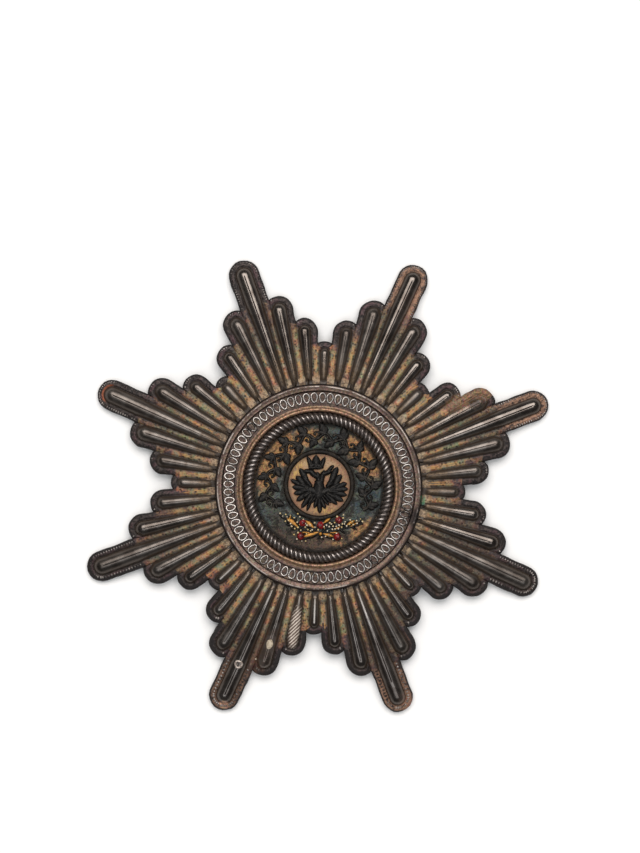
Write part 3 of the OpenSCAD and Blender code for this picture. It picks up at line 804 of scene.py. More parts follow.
class Plan:
    """The star's outline and relief, worked out from its sizes."""

    # Stations along half a ray, from the hub to the notch and from the notch to the tip
    INNER = 9
    OUTER = 13
    # Stations across it, on the ridge's flank and on the strip beside it
    ACROSS_RIDGE = (0, 0.12, 0.24, 0.36, 0.48, 0.6, 0.71, 0.81, 0.9, 0.97)
    ACROSS_STRIP = (0.0, 0.1, 0.22, 0.4, 0.6, 0.76, 0.87, 0.94, 1.0)
    # The first stations stand closer together, at the ridge's root
    HUB_STEPS = (0, 0.035, 0.09, 0.17)
    HALVINGS = 34
    RIDGE_DENT = 0.05 * MM

    def __init__(self, sizes):
        self.s = s = sizes
        self.border = s.border
        lobes = (s.long_reach, s.medium_reach, s.short_reach, s.valley_reach, s.short_reach, s.medium_reach)
        self.start = s.hub - 0.15 * MM
        self.angles = [self.lean(i) for i in range(RAYS)]
        self.turns = [(math.cos(a), math.sin(a)) for a in self.angles]
        self.lengths = [lobes[i % RAYS_PER_POINT] * self.share(i) for i in range(RAYS)]
        self.ends = [self.find_end(length) for length in self.lengths]
        self.notches = [self.find_notch(i) for i in range(RAYS)]

    def tip(self, i):
        """The lean and the shares of the point that ray i belongs to."""
        return TIPS[(i // RAYS_PER_POINT) % len(TIPS)]

    def lean(self, i):
        """A ray's direction."""
        k = i % RAYS_PER_POINT
        f = k / RAYS_PER_POINT
        lean = self.tip(i)[0] * (1 - f) + self.tip(i + RAYS_PER_POINT)[0] * f
        return FIRST_RAY + i * PITCH + math.radians(lean + GATHER[k])

    def share(self, i):
        """A ray's share of its usual reach."""
        k = i % RAYS_PER_POINT
        if k == 0:
            return self.tip(i)[1]
        return self.tip(i + RAYS_PER_POINT if k > RAYS_PER_POINT / 2 else i)[2]

    def angle(self, i):
        """The direction of ray i, which may be counted past a full turn."""
        return self.angles[i % RAYS] + math.tau * (i // RAYS)

    def end(self, i):
        """How far from the middle the centre of ray i's round end lies."""
        return self.ends[i % RAYS]

    def half(self, a):
        """Half the width of a ridge at a distance from the middle."""
        s = self.s
        return min(s.ridge_wide, s.ridge_narrow + s.ridge_taper * (max(a, s.ridge_root) - s.ridge_root))

    def find_end(self, length):
        """Where the round end of a ray of that length has its centre."""
        s = self.s
        narrow = (length - s.border - s.ridge_narrow + s.ridge_taper * s.ridge_root) / (1 + s.ridge_taper)
        if self.half(narrow) < s.ridge_wide:
            return narrow
        return length - s.border - s.ridge_wide

    def local(self, i, point):
        """A point seen along ray i."""
        c, d = self.turns[i % RAYS]
        return Vector((point.x * c + point.y * d, point.y * c - point.x * d, 0))

    def depth(self, i, point):
        """How far a point lies inside lobe i."""
        c, d = self.turns[i % RAYS]
        x, y = point.x * c + point.y * d, point.y * c - point.x * d
        end = self.ends[i % RAYS]
        if x <= end:
            return self.half(x) + self.border - abs(y)
        return self.half(end) + self.border - math.hypot(x - end, y)

    def edge(self, i, point):
        """How far a point near ray i lies inside the star's outline."""
        inside = max(self.depth(j, point) for j in (i - 1, i, i + 1))
        for j in (i - 1, i):
            reach, angle = self.notches[j % RAYS]
            corner = polar(reach, angle)
            if point.length < reach:
                inside = max(inside, (point.xy - corner.xy).length)
        return inside

    def reach(self, i, angle):
        """Where lobe i ends in a direction."""
        low, high = self.start, self.s.long_reach * 1.1
        for _ in range(self.HALVINGS):
            middle = (low + high) / 2
            if self.depth(i, polar(middle, angle)) > 0:
                low = middle
            else:
                high = middle
        return low

    def find_notch(self, i):
        """The radius and direction where lobes i and i + 1 cross."""
        low, high = self.angle(i), self.angle(i + 1)
        for _ in range(self.HALVINGS):
            middle = (low + high) / 2
            if self.reach(i, middle) > self.reach(i + 1, middle):
                low = middle
            else:
                high = middle
        return self.reach(i, low), low

    def divide(self, i, u):
        """The line between rays i and i + 1, from the hub at 0 to the notch at 1."""
        reach, angle = self.notches[i % RAYS]
        if i == -1:
            angle -= math.tau
        middle = (self.angle(i) + self.angle(i + 1)) / 2
        return polar(self.start + (reach - self.start) * u, middle + (angle - middle) * smooth(0.5, 1, u))

    def field(self, radius):
        """Height of the plate between the ridges."""
        s = self.s
        return s.rim + (s.long_reach - max(radius, s.hub)) * math.tan(s.slope)

    def relief(self, i, point, edge):
        """Height of the plate at a point near ray i, and how far across the ridge it lies."""
        s = self.s
        p = self.local(i, point)
        end = self.end(i)
        a = min(max(p.x, s.ridge_root), end)
        across = math.hypot(p.x - a, p.y)
        half = self.half(a)
        foot = math.sqrt(half**2 - s.ridge_sink**2)
        z = self.field(math.hypot(point.x, point.y))
        if across < foot:
            z += math.sqrt(half**2 - across**2) - s.ridge_sink
            z += self.RIDGE_DENT * noise.noise(Vector((p.x * 260, i * 3.7, 0))) * (1 - across / foot)
        else:
            out = (across - foot) / MM
            z -= s.moat * math.exp(-(((out - 0.12) / 0.16) ** 2))
        down = math.sin(self.angle(i) + math.atan2(p.y, p.x - min(p.x, end)))
        roll = s.edge_roll * (1 + 0.6 * max(0, -down))
        rolled = max(0.0, roll - edge)
        z -= roll - math.sqrt(max(0.0, roll**2 - rolled**2))
        z += s.moulding * math.exp(-(((edge / MM - 0.95) / 0.18) ** 2))
        return z, across / foot

    def stations(self, i, side):
        """Rows from a ray's axis out to its neighbour or its outline: (axis point, outer point, share)."""
        pair = i if side > 0 else i - 1
        end = self.end(i)
        rows = []
        steps = list(self.HUB_STEPS)
        while len(steps) <= self.INNER:
            steps.append(steps[-1] + (1 - steps[-1]) / (self.INNER + 1 - len(steps)))
        for u in steps:
            p = self.local(i, self.divide(pair, u))
            outer = Vector((p.x, abs(p.y), 0))
            rows.append((Vector((min(outer.x, end), 0, 0)), outer, u))
        notch = rows[-1][1]
        wide = self.half(end) + self.s.border
        straight = max(0.0, end - notch.x)
        bend = math.pi / 2 if straight > 0 else math.atan2(notch.y, notch.x - end)
        total = straight + wide * bend
        for k in range(1, self.OUTER + 1):
            gone = total * k / self.OUTER
            share = 1 + gone / total
            if gone < straight:
                a = notch.x + gone
                rows.append((Vector((a, 0, 0)), Vector((a, self.half(a) + self.s.border, 0)), share))
            else:
                turn = bend - (gone - straight) / wide
                centre = Vector((end, 0, 0))
                rows.append((centre, centre + polar(wide, turn), share))
        return rows

    def back(self, i, side, point):
        """A point seen along ray i, put back on the star."""
        return Matrix.Rotation(self.angle(i), 3, "Z") @ Vector((point.x, point.y * side, 0))

    def outline_walk(self, i, side, inset):
        """Points along a lobe's outline, a little inside it, with the way out at each."""
        rows = [row for row in self.stations(i, side) if row[2] >= 1]
        walk = []
        for axis, outer, _ in rows:
            out = (outer - axis).normalized()
            walk.append((self.back(i, side, outer - out * inset), self.back(i, side, out)))
        return walk


# Where a second noise is read, so that it differs from the first
APART = Vector((31.7, 8.3, 0))


def star_plate(sizes, material):
    """The stamped plate: half a ray at a time, welded, with its rim turned down."""
    plan = Plan(sizes)
    mesh = bmesh.new()
    layers = {key: mesh.verts.layers.float.new(key) for key in ("ridge", "beside", "edge", "share", "own")}
    across = [("ridge", f) for f in plan.ACROSS_RIDGE] + [("strip", f) for f in plan.ACROSS_STRIP]
    for i in range(RAYS):
        own = smooth(-0.45, 0.45, noise.noise(Vector((i * 2.37, 4.1, 0.5))))
        for side in (1, -1):
            rows = plan.stations(i, side)

            def place(column, row):
                axis, outer, share = rows[column]
                long = (outer - axis).length
                half = plan.half(axis.x)
                foot = math.sqrt(half**2 - sizes.ridge_sink**2)
                zone, f = across[row]
                far = foot * f if zone == "ridge" else foot + (long - foot) * f
                point = plan.back(i, side, axis + (outer - axis).normalized() * far)
                inside = plan.edge(i, point) if share < 1 else half + sizes.border - far
                edge = max(0.0, inside)
                point.z, ridge = plan.relief(i, point, edge)
                here = Vector((point.x, point.y, 0)) / MM * 0.55
                wobble = Vector((noise.noise(here), noise.noise(here + APART), 0)) * sizes.wobble
                point += wobble * smooth(-1.0, 0.0, -edge / MM)
                carried = {
                    layers["ridge"]: min(2.0, ridge),
                    layers["beside"]: max(-1.0, min(4.0, (far - foot) / MM)),
                    layers["edge"]: min(4.0, edge / MM),
                    layers["share"]: share,
                    layers["own"]: own,
                }
                return point, carried

            patch(mesh, len(rows) - 1, len(across) - 1, place)
    weld(mesh, 0.012 * MM)
    if sum(f.normal.z for f in mesh.faces) < 0:
        bmesh.ops.reverse_faces(mesh, faces=mesh.faces)
    rim = [e for e in mesh.edges if e.is_boundary and e.verts[0].co.xy.length > sizes.hub + MM]
    for v in extruded(mesh, rim):
        v.co.z = 0
        v[layers["edge"]] = 0
    hub = [e for e in mesh.edges if e.is_boundary and e.verts[0].co.xy.length < sizes.hub + MM]
    inner = extruded(mesh, hub)
    for v in inner:
        v.co = polar(sizes.hub * 0.6, math.atan2(v.co.y, v.co.x), plan.field(0))
    closing = set(inner)
    inner_edges = [e for e in mesh.edges if e.is_boundary and e.verts[0] in closing and e.verts[1] in closing]
    bmesh.ops.holes_fill(mesh, edges=inner_edges, sides=0)
    bmesh.ops.recalc_face_normals(mesh, faces=mesh.faces)
    if sum(f.normal.z * f.calc_area() for f in mesh.faces) < 0:
        bmesh.ops.reverse_faces(mesh, faces=mesh.faces)
    made = piece(mesh, "stamped_star", material)
    wall = made.modifiers.new("Sheet", "SOLIDIFY")
    wall.thickness = sizes.sheet
    wall.offset = -1
    return made, plan


# Half the length, width and height of a stroke, in millimetres
STROKE = (0.2, 0.125, 0.12)


def milling(plan, sizes, material):
    """Short strokes pressed in a row along the whole outline."""
    mesh = bmesh.new()
    part = bpy.data.meshes.new("part")
    for i in range(RAYS):
        strokes = bmesh.new()
        for side in (1, -1):
            walk = plan.outline_walk(i, side, 0)
            gone = sizes.milling_pitch * 0.5
            for (here, out), (there, _) in zip(walk, walk[1:]):
                step = (there - here).length
                # Low on the star the strokes are coarser and stand further in
                low = smooth(0.1, 0.55, -here.y / sizes.long_reach)
                inset = sizes.milling_in * (1 + 0.95 * low)
                while gone < step:
                    at = here.lerp(there, gone / step) - out * inset
                    gone += sizes.milling_pitch * (1 + 0.35 * low)
                    edge = plan.edge(i, at)
                    if edge > inset * 1.3:
                        continue
                    at.z, _ = plan.relief(i, at, edge)
                    own = 1 + 0.35 * noise.noise(Vector((at.x, at.y, 0)) / MM * 0.9)
                    own *= 1 + 0.3 * low
                    shape = Matrix.Diagonal((*(half * own * MM for half in STROKE), 1))
                    where = seated(at, math.atan2(out.y, out.x)) @ shape
                    bmesh.ops.create_uvsphere(strokes, u_segments=6, v_segments=4, radius=1, matrix=where)
                gone -= step
        strokes.to_mesh(part)
        strokes.free()
        mesh.from_mesh(part)
    bpy.data.meshes.remove(part)
    return piece(mesh, "rim_milling", material)


def on_plate(plan, x, y):
    """The plate's surface at a place in millimetres, and the nearest ray's direction."""
    point = Vector((x, y, 0)) * MM
    way = math.atan2(y, x)
    i = min(range(RAYS), key=lambda k: abs(math.remainder(plan.angle(k) - way, math.tau)))
    point.z, _ = plan.relief(i, point, plan.edge(i, point))
    return point, plan.angle(i)


# The flake and the bead: place, half length and half width in millimetres, and the blister's place
FLAKES = [(-7.9, -29.2, 0.95, 0.62), (-10.4, -32.0, 0.3, 0.3)]
BLISTER = (-13.5, -33.1)


def scars(plan, chalk, worn):
    """A pale flake and a bead stuck on the plate, and a small blistered ring."""
    mesh = bmesh.new()
    for x, y, long, wide in FLAKES:
        at, turn = on_plate(plan, x, y)
        shape = seated(at, turn) @ Matrix.Diagonal((long * MM, wide * MM, wide * 0.5 * MM, 1))
        made = bmesh.ops.create_icosphere(mesh, subdivisions=3, radius=1, matrix=shape)["verts"]
        for v in made:
            v.co = at + (v.co - at) * (1 + 0.22 * noise.noise(v.co / MM * 1.1))
    flakes = piece(mesh, "pale_flakes", chalk)
    mesh = bmesh.new()
    at, _ = on_plate(plan, *BLISTER)
    columns, rows = 28, 10

    def place(column, row):
        t = math.tau * column / columns
        a = math.tau * row / rows
        out = 0.6 + 0.06 * math.sin(t * 3 + 1) + 0.22 * math.cos(a)
        return at + polar(out * MM, t, 0.22 * MM * math.sin(a) - 0.05 * MM), {}

    patch(mesh, columns, rows, place)
    weld(mesh, 0.01 * MM)
    return flakes, piece(mesh, "blister_ring", worn)


# The ring's section: radius and height in millimetres
RING_OUTLINE = [
    (19.1, 0.0), (19.1, 1.15), (19.04, 1.38), (18.9, 1.55), (18.72, 1.66), (18.5, 1.68), (18.3, 1.62),
    (18.05, 1.5), (17.95, 1.53), (17.84, 1.5), (17.76, 1.38), (17.7, 1.2), (17.6, 1.15), (17.2, 1.17),
    (16.6, 1.18), (16.0, 1.17), (15.6, 1.15), (15.5, 1.2), (15.4, 1.24), (15.2, 1.18), (15.0, 1.16),
    (14.82, 1.2), (14.7, 1.32), (14.56, 1.46), (14.42, 1.54), (14.28, 1.54), (14.14, 1.46), (14.02, 1.3),
    (13.95, 1.1), (13.95, 0.0), (14.35, 0.0), (14.35, 0.75), (18.7, 0.75), (18.7, 0.0),
]
RING_STEPS = 160
# Height of the band that the loops lie on
BAND_FACE = 1.2 * MM


def ring(seat, material):
    """Spins the ring's closed section about the star's axis."""
    mesh = bmesh.new()
    verts = [mesh.verts.new((r * MM, 0, seat + z * MM)) for r, z in RING_OUTLINE]
    edges = [mesh.edges.new((a, b)) for a, b in zip(verts, verts[1:] + verts[:1])]
    bmesh.ops.spin(
        mesh,
        geom=verts + edges,
        cent=(0, 0, 0),
        axis=(0, 0, 1),
        angle=math.tau,
        steps=RING_STEPS,
        use_merge=True,
        use_duplicate=False,
    )
    bmesh.ops.recalc_face_normals(mesh, faces=mesh.faces)
    return piece(mesh, "looped_ring", material)


def loops(sizes, seat, material):
    """Oval wire loops that lie round the ring's band, each leaning a little on the next."""
    mesh, high = relief_mesh()
    steps, sides = 18, 7
    wire = sizes.loop_wire
    for n in range(sizes.loop_count):
        turn = Matrix.Rotation(math.tau * n / sizes.loop_count, 3, "Z")
        lean = 0.16 * MM * noise.noise(Vector((n * 1.7, 0, 0)))
        own = 1 + 0.12 * noise.noise(Vector((n * 1.3, 5, 0)))

        def place(column, row):
            t = math.tau * column / steps
            a = math.tau * row / sides
            across = (sizes.loop_half_long - wire) * own * math.cos(t)
            along = (sizes.loop_half_wide - wire * 0.8) * math.sin(t) * (1 + 0.22 * math.cos(t))
            lift = seat + BAND_FACE + 0.1 * MM * (1 + math.sin(t))
            middle = Vector((sizes.loop_radius + across, along + lean, lift))
            out = polar(1, t)
            co = middle + out * wire * math.cos(a) + UP * wire * math.sin(a)
            return turn @ co, {high: 0.5 + 0.5 * math.sin(a)}

        patch(mesh, steps, sides, place)
    weld(mesh, 0.01 * MM)
    return piece(mesh, "running_loops", material)


def rope(sizes, seat, material):
    """A twisted rope whose mesh lines follow its strands."""
    mesh, high = relief_mesh()
    per_strand, sides = 8, 16
    columns = sizes.strand_count * per_strand

    def place(column, row):
        about = math.tau * row / sides
        along = math.tau * (column / per_strand - sizes.strand_starts * row / sides) / sizes.strand_count
        swell = abs(math.sin(math.pi * column / per_strand)) ** 0.7
        r = sizes.rope_half - sizes.strand_depth * (1 - swell)
        lift = seat + sizes.rope_half + r * math.sin(about)
        co = polar(sizes.rope_radius + r * math.cos(about), along, lift)
        return co, {high: swell * (0.5 + 0.5 * math.sin(about))}

    patch(mesh, columns, sides, place)
    weld(mesh, 0.008 * MM)
    return piece(mesh, "twisted_rope", material)


def blade(mesh, high, place, turn, length, width, thick, base, root, vein, bend, full, blunt):
    """A roofed feather or leaf, widest at full of its length, its end blunt or sharp, bent to one side."""
    columns, rows = 10, 6
    where = seated((place[0], place[1], 0), turn)

    def on(column, row):
        x = column / columns
        y = row / rows * 2 - 1
        wide = root + (1 - root) * smooth(0, full, x)
        wide *= max(0.0, 1 - max(0.0, (x - full) / (1 - full)) ** blunt)
        dome = (1 - abs(y)) ** 0.75 * (0.5 + 0.5 * math.sqrt(max(0.0, 1 - x * x)))
        dome = 0.35 + 0.65 * dome - vein * math.exp(-((y / 0.22) ** 2)) * (1 - x)
        local = Vector((x * length, y * wide * width / 2 + bend * x * x * length, base + thick * dome))
        return where @ local, {high: dome}

    foot = extruded(mesh, open_edges(patch(mesh, columns, rows, on)))
    for v in foot:
        v.co.z = base
        v[high] = 0
    bmesh.ops.holes_fill(mesh, edges=open_edges(foot), sides=0)


def stem(mesh, high, points, half, thick, base):
    """A rounded stem along points."""
    columns, rows = len(points) - 1, 6

    def on(column, row):
        here = points[column]
        way = points[min(column + 1, columns)] - points[max(column - 1, 0)]
        beside = Vector((-way.y, way.x, 0)).normalized()
        a = math.pi * row / rows
        lift = math.sin(a)
        co = Vector((here.x, here.y, base)) + beside * half * math.cos(a) + UP * thick * lift
        return co, {high: lift}

    patch(mesh, columns, rows, on)


def bead(mesh, high, place, radius, base):
    """A small round drop seated on a surface."""
    where = Matrix.Translation((place[0], place[1], base + radius * 0.5))
    made = bmesh.ops.create_icosphere(mesh, subdivisions=2, radius=radius, matrix=where)["verts"]
    for v in made:
        v[high] = smooth(-0.5, 1, (v.co.z - base - radius * 0.5) / radius)


# Strokes of the eagle, from root to point, as shares of the disc's radius:
# x, y, x, y, width, share of the width at the root, bend, lift
FEATHERS = [
    (0.36, 0.0, 0.58, 0.62, 0.21, 0.8, -0.1, 1.1), (0.48, -0.06, 0.71, 0.38, 0.2, 0.7, -0.08, 1.0),
    (0.5, -0.1, 0.91, 0.1, 0.17, 0.7, 0.0, 1.0), (0.42, -0.14, 0.96, -0.09, 0.17, 0.7, 0.04, 1.0),
    (0.36, -0.2, 0.93, -0.3, 0.18, 0.7, 0.04, 1.0), (0.3, -0.24, 0.82, -0.5, 0.18, 0.7, 0.05, 1.0),
    (0.24, -0.28, 0.62, -0.62, 0.15, 0.8, 0.05, 1.0),
    (-0.36, 0.0, -0.65, 0.53, 0.2, 0.8, 0.1, 1.1), (-0.46, -0.04, -0.76, 0.27, 0.19, 0.7, 0.08, 1.0),
    (-0.48, -0.08, -0.94, 0.14, 0.15, 0.7, 0.0, 1.0), (-0.42, -0.12, -0.88, -0.1, 0.17, 0.7, -0.04, 1.0),
    (-0.36, -0.18, -0.82, -0.32, 0.17, 0.7, -0.04, 1.0), (-0.3, -0.22, -0.72, -0.55, 0.18, 0.7, -0.05, 1.0),
    (-0.24, -0.26, -0.55, -0.78, 0.16, 0.8, -0.05, 1.0), (-0.2, -0.3, -0.37, -0.87, 0.12, 0.8, -0.05, 0.9),
]
# Shorter coverts that lie over the roots, the wings' arms, the body, the necks, heads, beaks, legs and tail
BODY = [
    (0.26, -0.06, 0.5, 0.28, 0.16, 0.8, -0.1, 1.35), (0.34, -0.12, 0.68, 0.08, 0.14, 0.8, -0.05, 1.35),
    (0.3, -0.18, 0.66, -0.2, 0.15, 0.8, 0.05, 1.3), (0.26, -0.24, 0.58, -0.4, 0.15, 0.8, 0.05, 1.3),
    (-0.26, -0.06, -0.54, 0.24, 0.16, 0.8, 0.1, 1.35), (-0.32, -0.12, -0.66, 0.02, 0.14, 0.8, 0.05, 1.35),
    (-0.3, -0.18, -0.64, -0.2, 0.15, 0.8, -0.05, 1.3), (-0.26, -0.24, -0.54, -0.42, 0.15, 0.8, -0.05, 1.3),
    (0.02, -0.26, 0.62, -0.02, 0.24, 1.0, 0.14, 1.2), (-0.02, -0.26, -0.6, 0.0, 0.24, 1.0, -0.14, 1.2),
    (0.0, 0.14, 0.0, -0.5, 0.4, 0.7, 0.0, 1.6), (0.0, -0.02, -0.08, 0.44, 0.17, 1.3, 0.12, 1.5),
    (0.02, -0.02, 0.16, 0.5, 0.17, 1.3, -0.06, 1.5), (-0.02, 0.24, -0.34, 0.46, 0.18, 0.9, -0.12, 1.55),
    (-0.2, 0.42, -0.55, 0.42, 0.15, 0.9, 0.12, 1.4), (0.08, 0.34, 0.4, 0.5, 0.16, 0.9, 0.12, 1.55),
    (0.26, 0.44, 0.46, 0.66, 0.12, 0.9, -0.1, 1.4), (0.14, -0.3, 0.4, -0.58, 0.1, 0.9, -0.1, 1.2),
    (-0.14, -0.3, -0.32, -0.66, 0.12, 0.9, 0.1, 1.2), (0.36, -0.52, 0.56, -0.56, 0.06, 0.8, 0.1, 0.9),
    (0.06, -0.4, 0.24, -0.77, 0.13, 0.8, 0.08, 1.0), (-0.04, -0.4, -0.13, -0.76, 0.13, 0.8, -0.08, 1.0),
    (0.02, -0.4, 0.06, -0.93, 0.16, 0.8, 0.0, 1.1), (0.1, -0.36, 0.36, -0.66, 0.09, 0.8, 0.12, 0.9),
    (-0.08, -0.36, -0.26, -0.62, 0.09, 0.8, -0.12, 0.9),
]
# Strokes of the crown in the same way: a broad middle leaf between two horns, on a band
CROWN = [
    (-0.3, 0.56, -0.42, 0.93, 0.11, 0.9, 0.2, 1.0), (-0.3, 0.58, -0.14, 0.68, 0.12, 1.0, 0.0, 1.1),
    (-0.12, 0.52, -0.13, 0.98, 0.2, 0.6, 0.0, 1.2), (0.06, 0.56, 0.16, 0.93, 0.11, 0.9, -0.16, 1.0),
    (0.04, 0.58, -0.12, 0.68, 0.12, 1.0, 0.0, 1.1), (-0.36, 0.55, 0.12, 0.55, 0.09, 1.0, -0.06, 1.1),
    (0.02, 0.66, 0.02, 0.8, 0.06, 0.9, 0.0, 0.9), (-0.26, 0.66, -0.28, 0.8, 0.06, 0.9, 0.0, 0.9),
]
EAGLE_LAYERS = [(FEATHERS, 0.42, 0.1, 0.6, 3.2, 1.02), (BODY, 0.42, 0, 0.6, 3.2, 1.05)]
CROWN_LAYERS = [(CROWN, 0.44, 0, 0.5, 2.4, 1.35)]


def strokes(mesh, high, table, middle, share, thick, base, vein=0.0, full=0.38, blunt=1.7, fat=1.0):
    """Lays one blade for each row of a table."""
    for x, y, far_x, far_y, width, root, bend, lift in table:
        way = Vector((far_x - x, far_y - y))
        place = middle + Vector((x, y)) * share
        turn = math.atan2(way.y, way.x)
        # A bent blade still ends at its point
        turn -= math.atan(bend)
        long = way.length * share / math.hypot(1, bend)
        wide = width * share * fat
        blade(mesh, high, place, turn, long, wide, thick * lift, base, root, vein, bend, full, blunt)


def figure(sizes, name, base, material, layers):
    """A figure on the disc. Each layer: strokes, thickness, vein, fullest place, bluntness, fatness."""
    mesh, high = relief_mesh()
    middle = Vector((sizes.disc_right, sizes.disc_up))
    for table, thick, *look in layers:
        strokes(mesh, high, table, middle, sizes.disc_radius, thick * MM, base, *look)
    return piece(mesh, name, material)


def curl(mesh, high, centre, radius, start, turn, half, thick, base):
    """A tendril that winds in on itself and ends in a bud."""
    points = []
    steps = 18
    for k in range(steps + 1):
        t = k / steps
        r = radius * (1 - 0.62 * t)
        points.append(Vector((centre.x, centre.y, 0)) + polar(r, start + turn * t))
    stem(mesh, high, points, half, thick, base)
    bead(mesh, high, points[-1], half * 1.5, base)


# Half widths and thicknesses of the scroll's stem and tendrils, and the thickness of its leaves
SCROLL_STEM = (0.28 * MM, 0.36 * MM)
TENDRIL = (0.19 * MM, 0.34 * MM)
LEAF_THICK = 0.4 * MM


def scroll(sizes, base, material):
    """A wavy stem with leaves and curled tendrils by turns, round the upper part of the band."""
    mesh, high = relief_mesh()
    leaves = 22
    start, stop = math.radians(-26), math.radians(206)
    offset = Vector((sizes.disc_right, sizes.disc_up, 0)) / 2
    middle = (sizes.band_inner + sizes.band_radius) / 2
    room = sizes.band_radius - sizes.band_inner
    wave, leaf = room * 0.1, room * 0.42

    def at(s):
        return offset + polar(middle + wave * math.sin(s * leaves * math.pi), start + (stop - start) * s)

    steps = 176
    stem(mesh, high, [at(k / steps) for k in range(steps + 1)], *SCROLL_STEM, base)
    for n in range(leaves):
        s = (n + 0.5) / leaves
        out = 1 if n % 2 == 0 else -1
        own = noise.noise(Vector((n * 1.9, 3.3, 0)))
        angle = start + (stop - start) * s
        trio = ((46 + 14 * own, 1, 0.62), (84 + 10 * own, 0.62, 0.7), (14, 0.7, 0.55))
        for k, (degrees, long, wide) in enumerate(trio):
            turn = angle + math.pi / 2 - out * math.radians(degrees)
            long *= leaf * (1 + 0.25 * own)
            bend = -0.16 * out * (1 - k)
            blade(mesh, high, at(s), turn, long, long * wide, LEAF_THICK, base, 0.4, 0.25, bend, 0.5, 2.4)
        hook = at(s) - polar(out * 0.95 * MM, angle)
        begin = angle if out > 0 else angle + math.pi
        curl(mesh, high, hook, 0.62 * MM, begin, -out * 4.6, *TENDRIL, base)
    return piece(mesh, "leaf_scroll_relief", material)


# The laurel's stems and gilt leaves, in millimetres from the star's middle
STEMS = [
    [
        (-6.5, -5.5), (-5.4, -6.4), (-4.4, -7.15), (-3.5, -7.6), (-2.4, -8.05), (-1.0, -8.35), (0.6, -8.5),
        (2.0, -8.9), (3.4, -9.6),
    ],
    [
        (8.4, -6.3), (7.0, -6.75), (5.8, -7.05), (4.6, -7.4), (3.4, -7.8), (2.2, -8.15), (0.6, -8.45),
        (-1.0, -8.9), (-2.6, -9.6),
    ],
    [(-3.5, -7.6), (-2.6, -7.2), (-1.6, -7.15), (-0.6, -7.5), (0.6, -8.45)],
    [(4.6, -7.4), (3.6, -7.1), (2.6, -7.1), (1.5, -7.5), (0.6, -8.45)],
]
# Each leaf from root to point: x, y, x, y, width, bend
GILT_LEAVES = [
    (-3.55, -7.35, -5.75, -5.85, 0.85, 0.08), (-0.5, -7.5, -2.2, -6.1, 0.8, -0.1),
    (0.4, -8.1, -2.6, -9.2, 0.75, -0.08), (1.1, -6.5, 2.4, -5.5, 0.5, 0.0),
    (1.1, -8.4, 3.1, -8.85, 0.6, 0.06), (5.4, -6.7, 6.9, -5.75, 0.55, 0.0),
    (-5.4, -6.5, -4.9, -5.3, 0.35, 0.0), (3.0, -7.6, 4.4, -6.9, 0.35, 0.1),
    (6.0, -7.0, 7.6, -6.0, 0.32, 0.0), (-1.2, -8.4, -2.9, -8.3, 0.35, 0.1),
    (1.4, -7.6, 1.0, -6.6, 0.3, 0.0), (2.4, -8.2, 4.0, -8.1, 0.3, 0.0),
]
DARK_LEAVES = [
    (-6.0, -6.0, -7.1, -5.2, 0.5, 0.0), (-4.6, -7.1, -5.9, -7.0, 0.5, 0.1),
    (-3.6, -7.6, -4.9, -8.0, 0.5, 0.0), (-4.4, -6.8, -3.7, -5.4, 0.45, 0.1),
    (-1.8, -7.1, -1.0, -6.3, 0.4, 0.0), (-2.0, -8.2, -3.0, -7.9, 0.4, 0.0),
    (4.9, -7.3, 5.6, -5.9, 0.5, -0.1), (6.2, -6.9, 7.4, -7.5, 0.5, 0.0),
    (4.2, -7.5, 5.2, -8.3, 0.5, 0.0), (7.4, -6.6, 8.4, -5.6, 0.45, 0.0),
    (2.8, -8.0, 4.2, -8.5, 0.45, 0.1), (3.2, -7.1, 2.9, -6.2, 0.4, 0.0),
    (0.0, -8.5, 1.4, -9.5, 0.4, 0.0), (1.4, -8.6, 0.0, -9.5, 0.4, 0.0),
    (-0.2, -7.8, 0.7, -7.2, 0.35, 0.0), (1.0, -7.6, 3.2, -6.1, 0.8, 0.1),
    (3.4, -7.6, 5.3, -6.2, 0.7, 0.0), (-5.9, -6.1, -4.6, -5.2, 0.6, 0.0),
    (-2.6, -7.2, -1.5, -5.9, 0.6, 0.0), (5.6, -7.2, 8.4, -6.1, 0.5, 0.1),
    (-4.9, -7.2, -3.2, -6.6, 0.6, 0.0), (-3.9, -8.4, -1.6, -7.9, 0.6, 0.0),
    (1.6, -8.1, 3.8, -7.7, 0.6, 0.0), (-1.7, -7.6, 0.4, -7.5, 0.6, 0.1),
]
